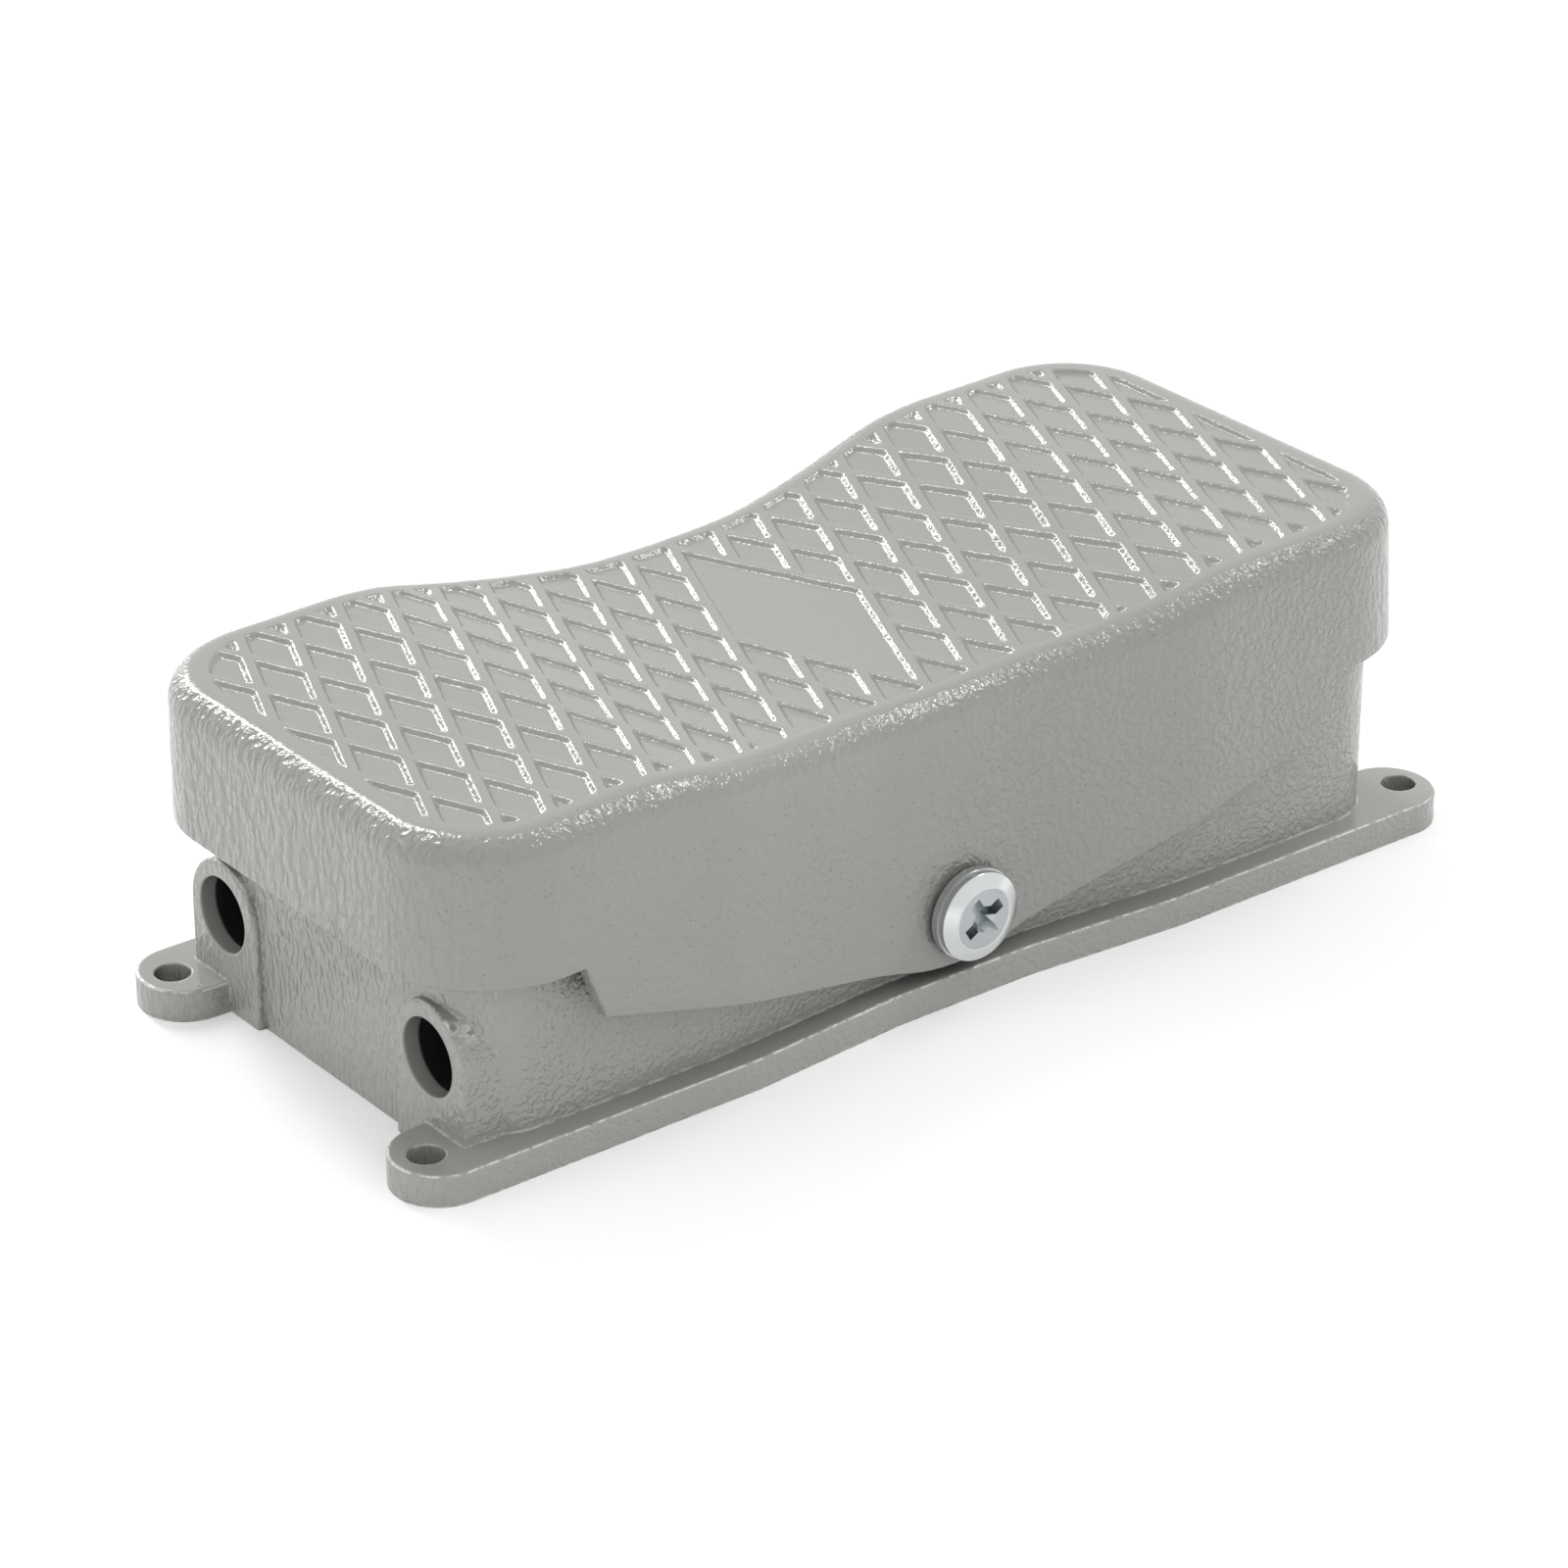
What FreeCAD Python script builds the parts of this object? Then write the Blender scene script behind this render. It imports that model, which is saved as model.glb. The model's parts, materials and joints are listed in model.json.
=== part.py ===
import FreeCAD, Part
import math
import os
import Sketcher

# Rocker foot switch: a cast tub with four screw-down lugs, a cast pedal that
# rocks on two shoulder screws, and a contact block under each half of the pedal.
#
# Frame: X runs along the pedal and the cable entries are at -X. Y runs along the
# pivot line, and the front is -Y. Z is up from the floor. The origin is on the
# floor in the middle of the four lug holes. Lengths are millimetres.

SIZES = {
    # Lugs and flange
    "lug_hole_x": 90.0,
    "lug_hole_y": 31.9,
    "lug_hole_r": 2.7,
    "lug_over": 5.0,
    "lug_round": 7.3,
    "flange_thick": 4.8,
    "flange_pinch": 2.1,
    "flange_flat": 12.0,
    "flange_ramp": 39.0,
    "cast_round": 0.6,
    # Tub
    "tub_x": 83.8,
    "tub_y": 35.2,
    "tub_pinch": 2.2,
    "tub_flat": 14.0,
    "tub_ramp": 43.0,
    "tub_corner": 10.0,
    "tub_wall": 3.0,
    "tub_top": 35.0,
    "tub_floor": 3.0,
    # Cable entries
    "cable_y": 25.6,
    "cable_z": 15.2,
    "cable_hole_r": 5.8,
    "cable_boss_r": 8.3,
    "cable_boss_proud": 1.25,
    "cable_boss_inside": 6.0,
    # Pivot line
    "pivot_z": 14.6,
    "pivot_boss_r": 7.5,
    "pivot_boss_inside": 8.0,
    "shoulder_r": 4.0,
    "thread_r": 3.0,
    "thread_gap": 0.05,
    "thread_chamfer": 0.4,
    "screw_gap": 0.15,
    "drill_over": 0.5,
    "head_r": 6.8,
    "head_rim": 1.25,
    "head_bevel": 0.9,
    "head_flat_r": 4.9,
    "washer_r": 6.95,
    "washer_thick": 1.15,
    "recess_arm": 3.6,
    "recess_half": 0.9,
    "recess_depth": 2.0,
    "running_gap": 0.05,
    "press_gap": 0.02,
    "bush_r": 5.5,
    "bush_flange_r": 7.5,
    "side_gap": 0.3,
    "bush_proud": 0.6,
    "bush_sunk": 0.3,
    # Pedal casting
    "pedal_shift": 1.25,
    "pedal_x": 89.0,
    "pedal_y": 41.3,
    "pedal_corner": 18.0,
    "pedal_low": 32.0,
    "pedal_high": 53.8,
    "pedal_edge": 4.2,
    "pedal_draft": 2.0,
    "pedal_wall": 2.5,
    "pedal_roof": 3.8,
    "roof_step": 46.0,
    "waist_depth": 5.45,
    "waist_flat": 13.5,
    "waist_ramp": 42.0,
    "waist_blend": 45.0,
    "dip_depth": 5.75,
    "dip_reach": 56.0,
    "dip_blend": 60.0,
    "skirt_x": 68.0,
    "skirt_step": 2.75,
    "skirt_drop": 8.3,
    "skirt_slope": 16.0,
    "skirt_round": 32.0,
    "rest_tilt": 1.5,
    "rock_angle": 5.5,
    # Diamond tread
    "tread_x": 82.7,
    "tread_y": 35.2,
    "tread_pinch": 4.8,
    "tread_corner": 12.5,
    "tread_pitch_x": 8.25,
    "tread_pitch_y": 19.75,
    "tread_rib": 0.7,
    "tread_depth": 0.7,
    # Return springs and their caps
    "spring_x": 60.0,
    "spring_seat": 6.0,
    "spring_seat_r": 7.5,
    "spring_r": 5.2,
    "spring_wire": 0.6,
    "spring_turns": 6.0,
    "post_r": 3.6,
    "post_top": 36.0,
    "cap_r": 5.0,
    "cap_flange_r": 7.0,
    "cap_flange": 2.0,
    "cap_length": 22.0,
    "cap_roof": 4.0,
    "cap_dome_r": 9.0,
    "touch_gap": 0.2,
    # Rubber stops
    "stop_x": 75.0,
    "stop_r": 4.5,
    "stop_post_top": 32.0,
    "stop_stem_r": 2.0,
    "stop_stem": 6.0,
    "stop_rim_r": 1.1,
    "stop_gap": 0.25,
    # Contact blocks on their plate
    "plate_x": 45.0,
    "plate_y": 13.0,
    "plate_corner": 3.0,
    "plate_thick": 1.5,
    "plate_seat": 6.0,
    "plate_screw_x": 40.6,
    "plate_screw_y": 8.0,
    "plate_boss_r": 4.3,
    "plate_screw_r": 2.0,
    "plate_screw_bite": 4.2,
    "plate_head_r": 3.6,
    "plate_head": 2.4,
    "block_x": 22.0,
    "block_half": 14.5,
    "block_y": 12.0,
    "block_corner": 1.5,
    "block_shelf": 14.5,
    "tower_half": 8.0,
    "tower_y": 5.5,
    "tower_top": 24.0,
    "barrier_half": 1.0,
    "barrier_top": 18.0,
    "plunger_r": 3.0,
    "plunger_cap_r": 4.2,
    "plunger_cap": 2.0,
    "plunger_rise": 5.2,
    "plunger_sunk": 8.0,
    "plunger_well": 12.5,
    "plunger_dome_r": 8.0,
    "clamp_x": 5.6,
    "clamp_y": 8.9,
    "clamp_half": 3.6,
    "clamp_depth": 2.6,
    "clamp_thick": 1.0,
    "clamp_screw_r": 1.5,
    "clamp_screw": 6.0,
    "clamp_head_r": 2.5,
    "clamp_head": 1.8,
    "block_screw_x": 11.4,
    "block_screw_r": 1.5,
    "block_head_r": 2.6,
    "block_head": 2.0,
    # Adjusting bolts in the pedal
    "bolt_r": 2.5,
    "bolt_flats": 8.0,
    "bolt_head": 3.5,
    "bolt_boss_r": 5.5,
    "bolt_boss_low": 43.2,
    "bolt_bite": 4.0,
    "nut_thick": 3.2,
    # Earth terminal
    "earth_x": 52.0,
    "earth_y": 21.5,
    "earth_boss_r": 4.8,
    "earth_boss_top": 9.0,
    "earth_screw_r": 2.0,
    "earth_screw_bite": 5.0,
    "earth_head_r": 3.6,
    "earth_head": 2.4,
    "earth_cup": 1.2,
    "earth_cup_r": 4.5,
}


class Size:
    """A number together with the sheet formula that gives it."""

    def __init__(self, number, formula):
        self.number = float(number)
        self.formula = formula

    def __add__(self, other):
        other = as_size(other)
        return Size(self.number + other.number, f"({self.formula} + {other.formula})")

    def __radd__(self, other):
        return as_size(other) + self

    def __sub__(self, other):
        other = as_size(other)
        return Size(self.number - other.number, f"({self.formula} - {other.formula})")

    def __rsub__(self, other):
        return as_size(other) - self

    def __mul__(self, other):
        other = as_size(other)
        return Size(self.number * other.number, f"({self.formula} * {other.formula})")

    def __rmul__(self, other):
        return as_size(other) * self

    def __truediv__(self, other):
        other = as_size(other)
        return Size(self.number / other.number, f"({self.formula} / {other.formula})")

    def __neg__(self):
        return Size(-self.number, f"(0 - {self.formula})")


def as_size(value):
    """Wrap a plain number, and leave a Size as it is."""
    if isinstance(value, Size):
        return value
    return Size(value, repr(float(value)))


def sine(angle):
    """Sine of a Size in degrees."""
    return Size(math.sin(math.radians(angle.number)), f"sin({angle.formula})")


def cosine(angle):
    """Cosine of a Size in degrees."""
    return Size(math.cos(math.radians(angle.number)), f"cos({angle.formula})")


def root(value):
    """Square root of a Size."""
    return Size(math.sqrt(value.number), f"sqrt({value.formula})")


def tangent(angle):
    """Tangent of a Size in degrees."""
    return Size(math.tan(math.radians(angle.number)), f"tan({angle.formula})")


class Sheet:
    """The sheet of driving dimensions, read as attributes."""

    def __init__(self, document, values):
        self.cells = document.addObject("Spreadsheet::Sheet", "dims")
        self.values = values
        for row, (name, value) in enumerate(values.items(), start=1):
            self.cells.set(f"A{row}", name)
            self.cells.set(f"B{row}", str(value))
            self.cells.setAlias(f"B{row}", name)

    def __getattr__(self, name):
        return Size(self.values[name], f"dims.{name}")


doc = FreeCAD.newDocument("foot_switch")
dim = Sheet(doc, SIZES)
doc.recompute()
subparts = []
SIDES = ((-1, "left"), (1, "right"))
ENDS = ((-1, "front"), (1, "rear"))
# How far joined and cut shapes run past a face, and how near two lengths count as equal
SLACK = 1.0
LITTLE = 0.5

# Shares of a small screw's head: its rim and crown, and its recess
HEAD_RIM = 0.55
HEAD_CROWN = 0.62
RECESS_ARM = 0.52
RECESS_HALF = 0.13


def bind(thing, path, value):
    """Tie one property of an object to a sheet formula."""
    value = as_size(value)
    thing.setExpression(path, value.formula)


def place(thing, x=0, y=0, z=0, turn_axis=None, turn=0):
    """Tie an object's position, and give it a turn about an axis through it."""
    if turn_axis is not None:
        rotation = FreeCAD.Rotation(turn_axis, as_size(turn).number)
        thing.Placement = FreeCAD.Placement(FreeCAD.Vector(), rotation)
        if isinstance(turn, Size):
            bind(thing, "Placement.Rotation.Angle", turn)
    for letter, value in (("x", x), ("y", y), ("z", z)):
        bind(thing, f"Placement.Base.{letter}", value)


def new_body(name):
    """An empty body with its own label."""
    body = doc.addObject("PartDesign::Body", name)
    body.Label = name
    return body


def keep(thing):
    """Mark an object as one of the sub-parts that are written out."""
    subparts.append(thing)
    return thing


def new_sketch(body, plane, height=0):
    """A sketch on one of the body's own origin planes, moved along world X, Y or Z."""
    sketch = body.newObject("Sketcher::SketchObject", f"{body.Name}_sketch")
    origin_plane = [item for item in body.Origin.OriginFeatures if item.Role == f"{plane}_Plane"][0]
    sketch.AttachmentSupport = (origin_plane, [""])
    sketch.MapMode = "FlatFace"
    along = -as_size(height) if plane == "XZ" else as_size(height)
    bind(sketch, "AttachmentOffset.Base.z", along)
    return sketch


def fix_point(sketch, geometry, position, x, y):
    """Hold one point of a sketch at its distances from the sketch's origin."""
    for kind, value in (("DistanceX", x), ("DistanceY", y)):
        value = as_size(value)
        index = sketch.addConstraint(Sketcher.Constraint(kind, -1, 1, geometry, position, value.number))
        bind(sketch, f"Constraints[{index}]", value)


def fix_radius(sketch, geometry, radius):
    """Hold the radius of a circle or arc in a sketch."""
    radius = as_size(radius)
    index = sketch.addConstraint(Sketcher.Constraint("Radius", geometry, radius.number))
    bind(sketch, f"Constraints[{index}]", radius)


def polygon(sketch, x, y, reach, sides):
    """Regular polygon with its corners at a distance from its middle."""
    turns = [as_size(360 * index / sides) for index in range(sides)]
    closed_outline(sketch, [(x + reach * cosine(turn), y + reach * sine(turn)) for turn in turns])


def arc_through(start, end, radius):
    """Arc from start to end. A positive radius bulges to the right of the way there."""
    chord = end - start
    side = FreeCAD.Vector(chord.y, -chord.x, 0).normalize()
    half = chord.Length / 2
    bulge = abs(radius) - math.sqrt(radius * radius - half * half)
    middle = (start + end) / 2 + side * math.copysign(bulge, radius)
    return Part.Arc(start, middle, end) if radius > 0 else Part.Arc(end, middle, start)


def closed_outline(sketch, corners):
    """Closed chain of lines, and of arcs where a corner names the radius of what follows it."""
    points = [FreeCAD.Vector(as_size(item[0]).number, as_size(item[1]).number, 0) for item in corners]
    first = sketch.GeometryCount
    count = len(corners)
    for index, corner in enumerate(corners):
        start = points[index]
        end = points[(index + 1) % count]
        if len(corner) == 3:
            sketch.addGeometry(arc_through(start, end, as_size(corner[2]).number))
        else:
            sketch.addGeometry(Part.LineSegment(start, end))
    begins = []
    for index in range(count):
        drawn = sketch.Geometry[first + index]
        forward = (drawn.StartPoint - points[index]).Length < (drawn.EndPoint - points[index]).Length
        begins.append(1 if forward else 2)
    for index, corner in enumerate(corners):
        after = (index + 1) % count
        sketch.addConstraint(Sketcher.Constraint(
            "Coincident", first + index, 3 - begins[index], first + after, begins[after]))
        fix_point(sketch, first + index, begins[index], corner[0], corner[1])
        if len(corner) == 3:
            radius = as_size(corner[2])
            fix_radius(sketch, first + index, radius if radius.number > 0 else -radius)


def rectangle(sketch, left, right, low, high):
    """Closed rectangle between four sizes."""
    closed_outline(sketch, [(left, low), (right, low), (right, high), (left, high)])


def circle(sketch, x, y, radius):
    """Circle at a place in the sketch."""
    centre = FreeCAD.Vector(as_size(x).number, as_size(y).number, 0)
    index = sketch.addGeometry(Part.Circle(centre, FreeCAD.Vector(0, 0, 1), as_size(radius).number))
    fix_point(sketch, index, 3, x, y)
    fix_radius(sketch, index, radius)


def prism(body, kind, sketch, length, both_ways=False, reverse=False, taper=None):
    """Pad or pocket a sketch, and check that the solid has changed."""
    before = body.Shape.Volume if body.Tip else 0.0
    feature = body.newObject(f"PartDesign::{kind}", f"{body.Name}_{kind}")
    feature.Profile = sketch
    bind(feature, "Length", length)
    if both_ways:
        feature.SideType = "Symmetric"
    feature.Reversed = reverse
    if taper is not None:
        bind(feature, "TaperAngle", taper)
    doc.recompute()
    change = body.Shape.Volume - before
    if (change <= 0) == (kind == "Pad"):
        raise RuntimeError(f"{feature.Label} changed the volume by {change}")
    return feature


def pad(body, sketch, length, **options):
    """Add a prism to a body."""
    return prism(body, "Pad", sketch, length, **options)


def pocket(body, sketch, length, **options):
    """Cut a prism from a body."""
    return prism(body, "Pocket", sketch, length, **options)


def revolve(body, corners):
    """Turn a profile, given as radius and height, about the body's own Z axis."""
    sketch = new_sketch(body, "XZ")
    closed_outline(sketch, corners)
    turned = body.newObject("PartDesign::Revolution", f"{body.Name}_turned")
    turned.Profile = sketch
    turned.ReferenceAxis = (sketch, ["V_Axis"])
    turned.Angle = 360.0
    doc.recompute()
    return turned


def flat_washer(body, inside, outside, thick):
    """Flat washer that stands on its own origin plane."""
    return revolve(body, [(inside, 0), (outside, 0), (outside, thick), (inside, thick)])


def round_edges(body, radius, wanted):
    """Fillet the edges of a body's solid that a test picks."""
    names = [f"Edge{index}" for index, edge in enumerate(body.Shape.Edges, start=1) if wanted(edge)]
    base = body.Tip
    rounded = body.newObject("PartDesign::Fillet", f"{body.Name}_round")
    rounded.Base = (base, names)
    bind(rounded, "Radius", radius)
    doc.recompute()
    if not rounded.isValid():
        raise RuntimeError(f"{rounded.Label} has no round of {radius.number}")
    return rounded


def stands_near(edge, places, reach=3.0):
    """Whether an edge runs upwards beside one of the places in plan."""
    low, high = edge.Vertexes[0].Point, edge.Vertexes[-1].Point
    if abs(high.z - low.z) < reach or math.hypot(high.x - low.x, high.y - low.y) > reach:
        return False
    middle = (low + high) / 2
    return any(math.hypot(middle.x - x, middle.y - y) < reach for x, y in places)


def four_places(x, y):
    """The four places that lie a distance along and across from the middle."""
    return [(side * x, end * y) for side, _ in SIDES for end, _ in ENDS]


def hourglass(x, y, flat, ramp, pinch, corner, middle=0):
    """Plan outline with round corners that is narrower over a flat stretch in the middle."""
    waist = y - pinch
    half = [(-x + corner, -y), (-ramp, -y), (-flat, -waist), (flat, -waist), (ramp, -y),
            (x - corner, -y, corner), (x, -(y - corner)), (x, y - corner, corner)]
    turned = [(-item[0], -item[1], *item[2:]) for item in half]
    return [(middle + item[0], item[1], *item[2:]) for item in half + turned]


def group(name, pieces):
    """One sub-part made of separate equal pieces."""
    compound = doc.addObject("Part::Compound", name)
    compound.Label = name
    compound.Links = pieces
    return keep(compound)


def screw(name, shank_r, shank, head_r, head):
    """Pan-head screw along Z with its seat at zero and a cross recess."""
    body = new_body(name)
    revolve(body, [(0, -shank), (shank_r, -shank), (shank_r, 0), (head_r, 0),
                   (head_r, head * HEAD_RIM), (head_r * HEAD_CROWN, head), (0, head)])
    cross_recess(body, head, head_r * RECESS_ARM, head_r * RECESS_HALF, head * HEAD_RIM)
    return body


def cross_recess(body, top, arm, half, depth):
    """Cut a cross-shaped driver recess into the top of a head."""
    sketch = new_sketch(body, "XY", top)
    closed_outline(sketch, [(-arm, -half), (-half, -half), (-half, -arm), (half, -arm),
                            (half, -half), (arm, -half), (arm, half), (half, half),
                            (half, arm), (-half, arm), (-half, half), (-arm, half)])
    pocket(body, sketch, depth)


# Sizes that several pieces share
flange_y = dim.lug_hole_y + dim.lug_round
lug_x = dim.lug_hole_x + dim.lug_over - dim.lug_round
inner_x = dim.tub_x - dim.tub_wall
inner_y = dim.tub_y - dim.tub_wall
pivot_wall = dim.tub_y - dim.tub_pinch
cable_face = dim.tub_x + dim.cable_boss_proud
pedal_roof_under = dim.pedal_high - dim.pedal_roof
ceiling_low = pedal_roof_under - dim.dip_depth
tan_draft = tangent(dim.pedal_draft)
pedal_waist = dim.pedal_y - dim.waist_depth
skirt_outside = pedal_waist + (dim.pedal_low - dim.pivot_z) * tan_draft
skirt_inside = skirt_outside - dim.pedal_wall
bush_seat = skirt_inside + dim.bush_sunk
bush_end = skirt_outside + dim.bush_proud
washer_low = bush_end + dim.side_gap
head_seat = washer_low + dim.washer_thick


# Tub with flange, lugs and bosses
def make_housing():
    """Cast tub, open at the top, with everything that is cast on it."""
    body = new_body("base_housing")
    outside = new_sketch(body, "XY")
    closed_outline(outside, hourglass(dim.tub_x, dim.tub_y, dim.tub_flat, dim.tub_ramp, dim.tub_pinch,
                                      dim.tub_corner))
    pad(body, outside, dim.tub_top)

    flange = new_sketch(body, "XY")
    notch = dim.lug_hole_y - dim.lug_round
    notch_x = dim.tub_x - SLACK
    waist = flange_y - dim.flange_pinch
    front = [(-lug_x, -flange_y), (-dim.flange_ramp, -flange_y), (-dim.flange_flat, -waist),
             (dim.flange_flat, -waist), (dim.flange_ramp, -flange_y), (lug_x, -flange_y),
             (lug_x, -notch), (notch_x, -notch), (notch_x, notch), (lug_x, notch)]
    closed_outline(flange, front + [(-x, -y) for x, y in front])
    pad(body, flange, dim.flange_thick)
    ends = new_sketch(body, "XY")
    for x, y in four_places(lug_x, dim.lug_hole_y):
        circle(ends, x, y, dim.lug_round)
    pad(body, ends, dim.flange_thick)
    thick = dim.flange_thick.number
    beside_x = dim.tub_x.number + LITTLE
    beside_y = dim.tub_y.number + LITTLE

    def is_flange_rim(edge):
        box = edge.BoundBox
        level = box.ZMin > thick - LITTLE and box.ZMax < thick + LITTLE
        return level and (abs(box.Center.x) > beside_x or abs(box.Center.y) > beside_y)

    round_edges(body, dim.cast_round, is_flange_rim)

    cavity = new_sketch(body, "XY", dim.tub_top)
    closed_outline(cavity, hourglass(inner_x, inner_y, dim.tub_flat, dim.tub_ramp, dim.tub_pinch,
                                     dim.tub_corner - dim.tub_wall))
    pocket(body, cavity, dim.tub_top - dim.tub_floor)

    depth = dim.cable_boss_proud + dim.tub_wall + dim.cable_boss_inside
    arches = new_sketch(body, "YZ", -cable_face)
    for end, _ in ENDS:
        circle(arches, end * dim.cable_y, dim.cable_z, dim.cable_boss_r)
    pad(body, arches, depth)
    legs = new_sketch(body, "YZ", -cable_face)
    for end, _ in ENDS:
        near = end * dim.cable_y - dim.cable_boss_r
        rectangle(legs, near, near + 2 * dim.cable_boss_r, 0, dim.cable_z)
    pad(body, legs, depth)

    def is_boss_rim(edge):
        box = edge.BoundBox
        return box.XMax < LITTLE - cable_face.number and box.ZMax > dim.flange_thick.number + LITTLE

    round_edges(body, dim.cast_round, is_boss_rim)

    for side, backwards in ((1, False), (-1, True)):
        boss = new_sketch(body, "XZ", side * (pivot_wall - SLACK))
        circle(boss, 0, dim.pivot_z, dim.pivot_boss_r)
        pad(body, boss, dim.tub_wall + dim.pivot_boss_inside - SLACK, reverse=backwards)

    rise(body, [(side * dim.spring_x, 0) for side, _ in SIDES], dim.spring_seat_r, dim.spring_seat)
    rise(body, [(side * dim.spring_x, 0) for side, _ in SIDES], dim.post_r, dim.post_top)
    rise(body, [(side * dim.stop_x, 0) for side, _ in SIDES], dim.stop_r, dim.stop_post_top)
    plate_points = four_places(dim.plate_screw_x, dim.plate_screw_y)
    rise(body, plate_points, dim.plate_boss_r, dim.plate_seat)
    rise(body, [(-dim.earth_x, dim.earth_y)], dim.earth_boss_r, dim.earth_boss_top)

    holes = new_sketch(body, "XY", dim.flange_thick)
    for x, y in four_places(dim.lug_hole_x, dim.lug_hole_y):
        circle(holes, x, y, dim.lug_hole_r)
    pocket(body, holes, dim.flange_thick + SLACK)
    entries = new_sketch(body, "YZ", -cable_face - SLACK)
    for end, _ in ENDS:
        circle(entries, end * dim.cable_y, dim.cable_z, dim.cable_hole_r)
    pocket(body, entries, depth + 2 * SLACK, reverse=True)
    threads = new_sketch(body, "XZ")
    circle(threads, 0, dim.pivot_z, dim.thread_r + dim.thread_gap)
    pocket(body, threads, 2 * (pivot_wall + SLACK), both_ways=True)
    drill(body, plate_points, dim.plate_screw_r + dim.thread_gap, dim.plate_seat,
          dim.plate_screw_bite - dim.plate_thick + dim.drill_over)
    drill(body, [(side * dim.stop_x, 0) for side, _ in SIDES], dim.stop_stem_r + dim.thread_gap,
          dim.stop_post_top, dim.stop_stem + dim.drill_over)
    drill(body, [(-dim.earth_x, dim.earth_y)], dim.earth_screw_r + dim.thread_gap, dim.earth_boss_top,
          dim.earth_boss_top - dim.tub_floor)
    return keep(body)


def rise(body, places, radius, top):
    """Round posts that stand on the tub's floor and end at a height."""
    sketch = new_sketch(body, "XY", dim.tub_floor - SLACK)
    for x, y in places:
        circle(sketch, x, y, radius)
    pad(body, sketch, top - dim.tub_floor + SLACK)


def drill(body, places, radius, mouth, depth):
    """Blind round holes that go down from a height."""
    sketch = new_sketch(body, "XY", mouth)
    for x, y in places:
        circle(sketch, x, y, radius)
    pocket(body, sketch, depth)


# Pedal casting, drawn level about the pivot line
def make_pedal():
    """Cast pedal: hourglass plan, dipped top, and skirts that fall to the pivot."""
    body = new_body("pedal_cover")
    middle = -dim.pedal_shift
    bottom = -dim.skirt_drop
    top = dim.pedal_high - dim.pivot_z
    low = dim.pedal_low - dim.pivot_z
    grown = (low - bottom) * tan_draft
    width = 2 * (dim.pedal_y + grown + SLACK)
    plan = new_sketch(body, "XY", bottom)
    closed_outline(plan, hourglass(dim.pedal_x + grown, dim.pedal_y + grown, dim.waist_flat, dim.waist_ramp,
                                   dim.waist_depth, dim.pedal_corner + grown, middle))
    pad(body, plan, top - bottom, taper=-dim.pedal_draft)
    bends = [((middle + x).number, y.number)
             for along, across in ((dim.waist_flat, pedal_waist), (dim.waist_ramp, dim.pedal_y))
             for x, y in four_places(along, across)]
    round_edges(body, dim.waist_blend, lambda edge: stands_near(edge, bends))
    cut_dip(body, middle, top, width)
    highest = top.number - dim.dip_depth.number - LITTLE
    inside = dim.pedal_x.number - dim.pedal_corner.number / 2

    def is_rim(edge):
        box = edge.BoundBox
        across = abs(box.Center.y) < LITTLE and abs(box.Center.x - middle.number) < inside
        return box.ZMin > highest and not across

    round_edges(body, dim.pedal_edge, is_rim)
    cut_skirt_line(body, middle, bottom, low, grown, width)
    hollow_pedal(body, middle, bottom, grown)

    lands = new_sketch(body, "XY", dim.bolt_boss_low - dim.pivot_z)
    for side, _ in SIDES:
        circle(lands, side * dim.block_x, 0, dim.bolt_boss_r)
    pad(body, lands, ceiling_low - dim.bolt_boss_low + SLACK)
    taps = new_sketch(body, "XY", dim.bolt_boss_low - dim.pivot_z)
    for side, _ in SIDES:
        circle(taps, side * dim.block_x, 0, dim.bolt_r + dim.thread_gap)
    pocket(body, taps, dim.bolt_bite + dim.touch_gap, reverse=True)
    facing = new_sketch(body, "XZ")
    circle(facing, 0, 0, dim.bush_flange_r + dim.side_gap)
    pocket(body, facing, 2 * bush_seat, both_ways=True)
    bearing = new_sketch(body, "XZ")
    circle(bearing, 0, 0, dim.bush_r + dim.press_gap)
    pocket(body, bearing, width, both_ways=True)
    tread = body.newObject("PartDesign::Boolean", "pedal_tread")
    tread.Type = "Cut"
    tread.setObjects(make_tread_tools(middle, top, width))
    doc.recompute()
    ride_on_pedal(body, 0, 0)
    return keep(body)


def dip_line(middle, top):
    """The top seen from the front, from one flat end through the dip to the other."""
    radii = (dim.dip_reach * dim.dip_reach + dim.dip_depth * dim.dip_depth) / (2 * dim.dip_depth)
    share = dim.dip_blend / radii
    join_x = dim.dip_reach * (1 - share)
    join_z = top - dim.dip_blend + (radii - dim.dip_depth) * share
    return [(middle - dim.dip_reach, top, -dim.dip_blend), (middle - join_x, join_z, radii - dim.dip_blend),
            (middle + join_x, join_z, -dim.dip_blend), (middle + dim.dip_reach, top)]


def cut_dip(body, middle, top, width):
    """Cut the shallow dip between the two treads, tangent to the flat ends."""
    side_view = new_sketch(body, "XZ")
    closed_outline(side_view, dip_line(middle, top) + [
        (middle + dim.dip_reach, top + SLACK), (middle - dim.dip_reach, top + SLACK)])
    pocket(body, side_view, width, both_ways=True)


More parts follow.
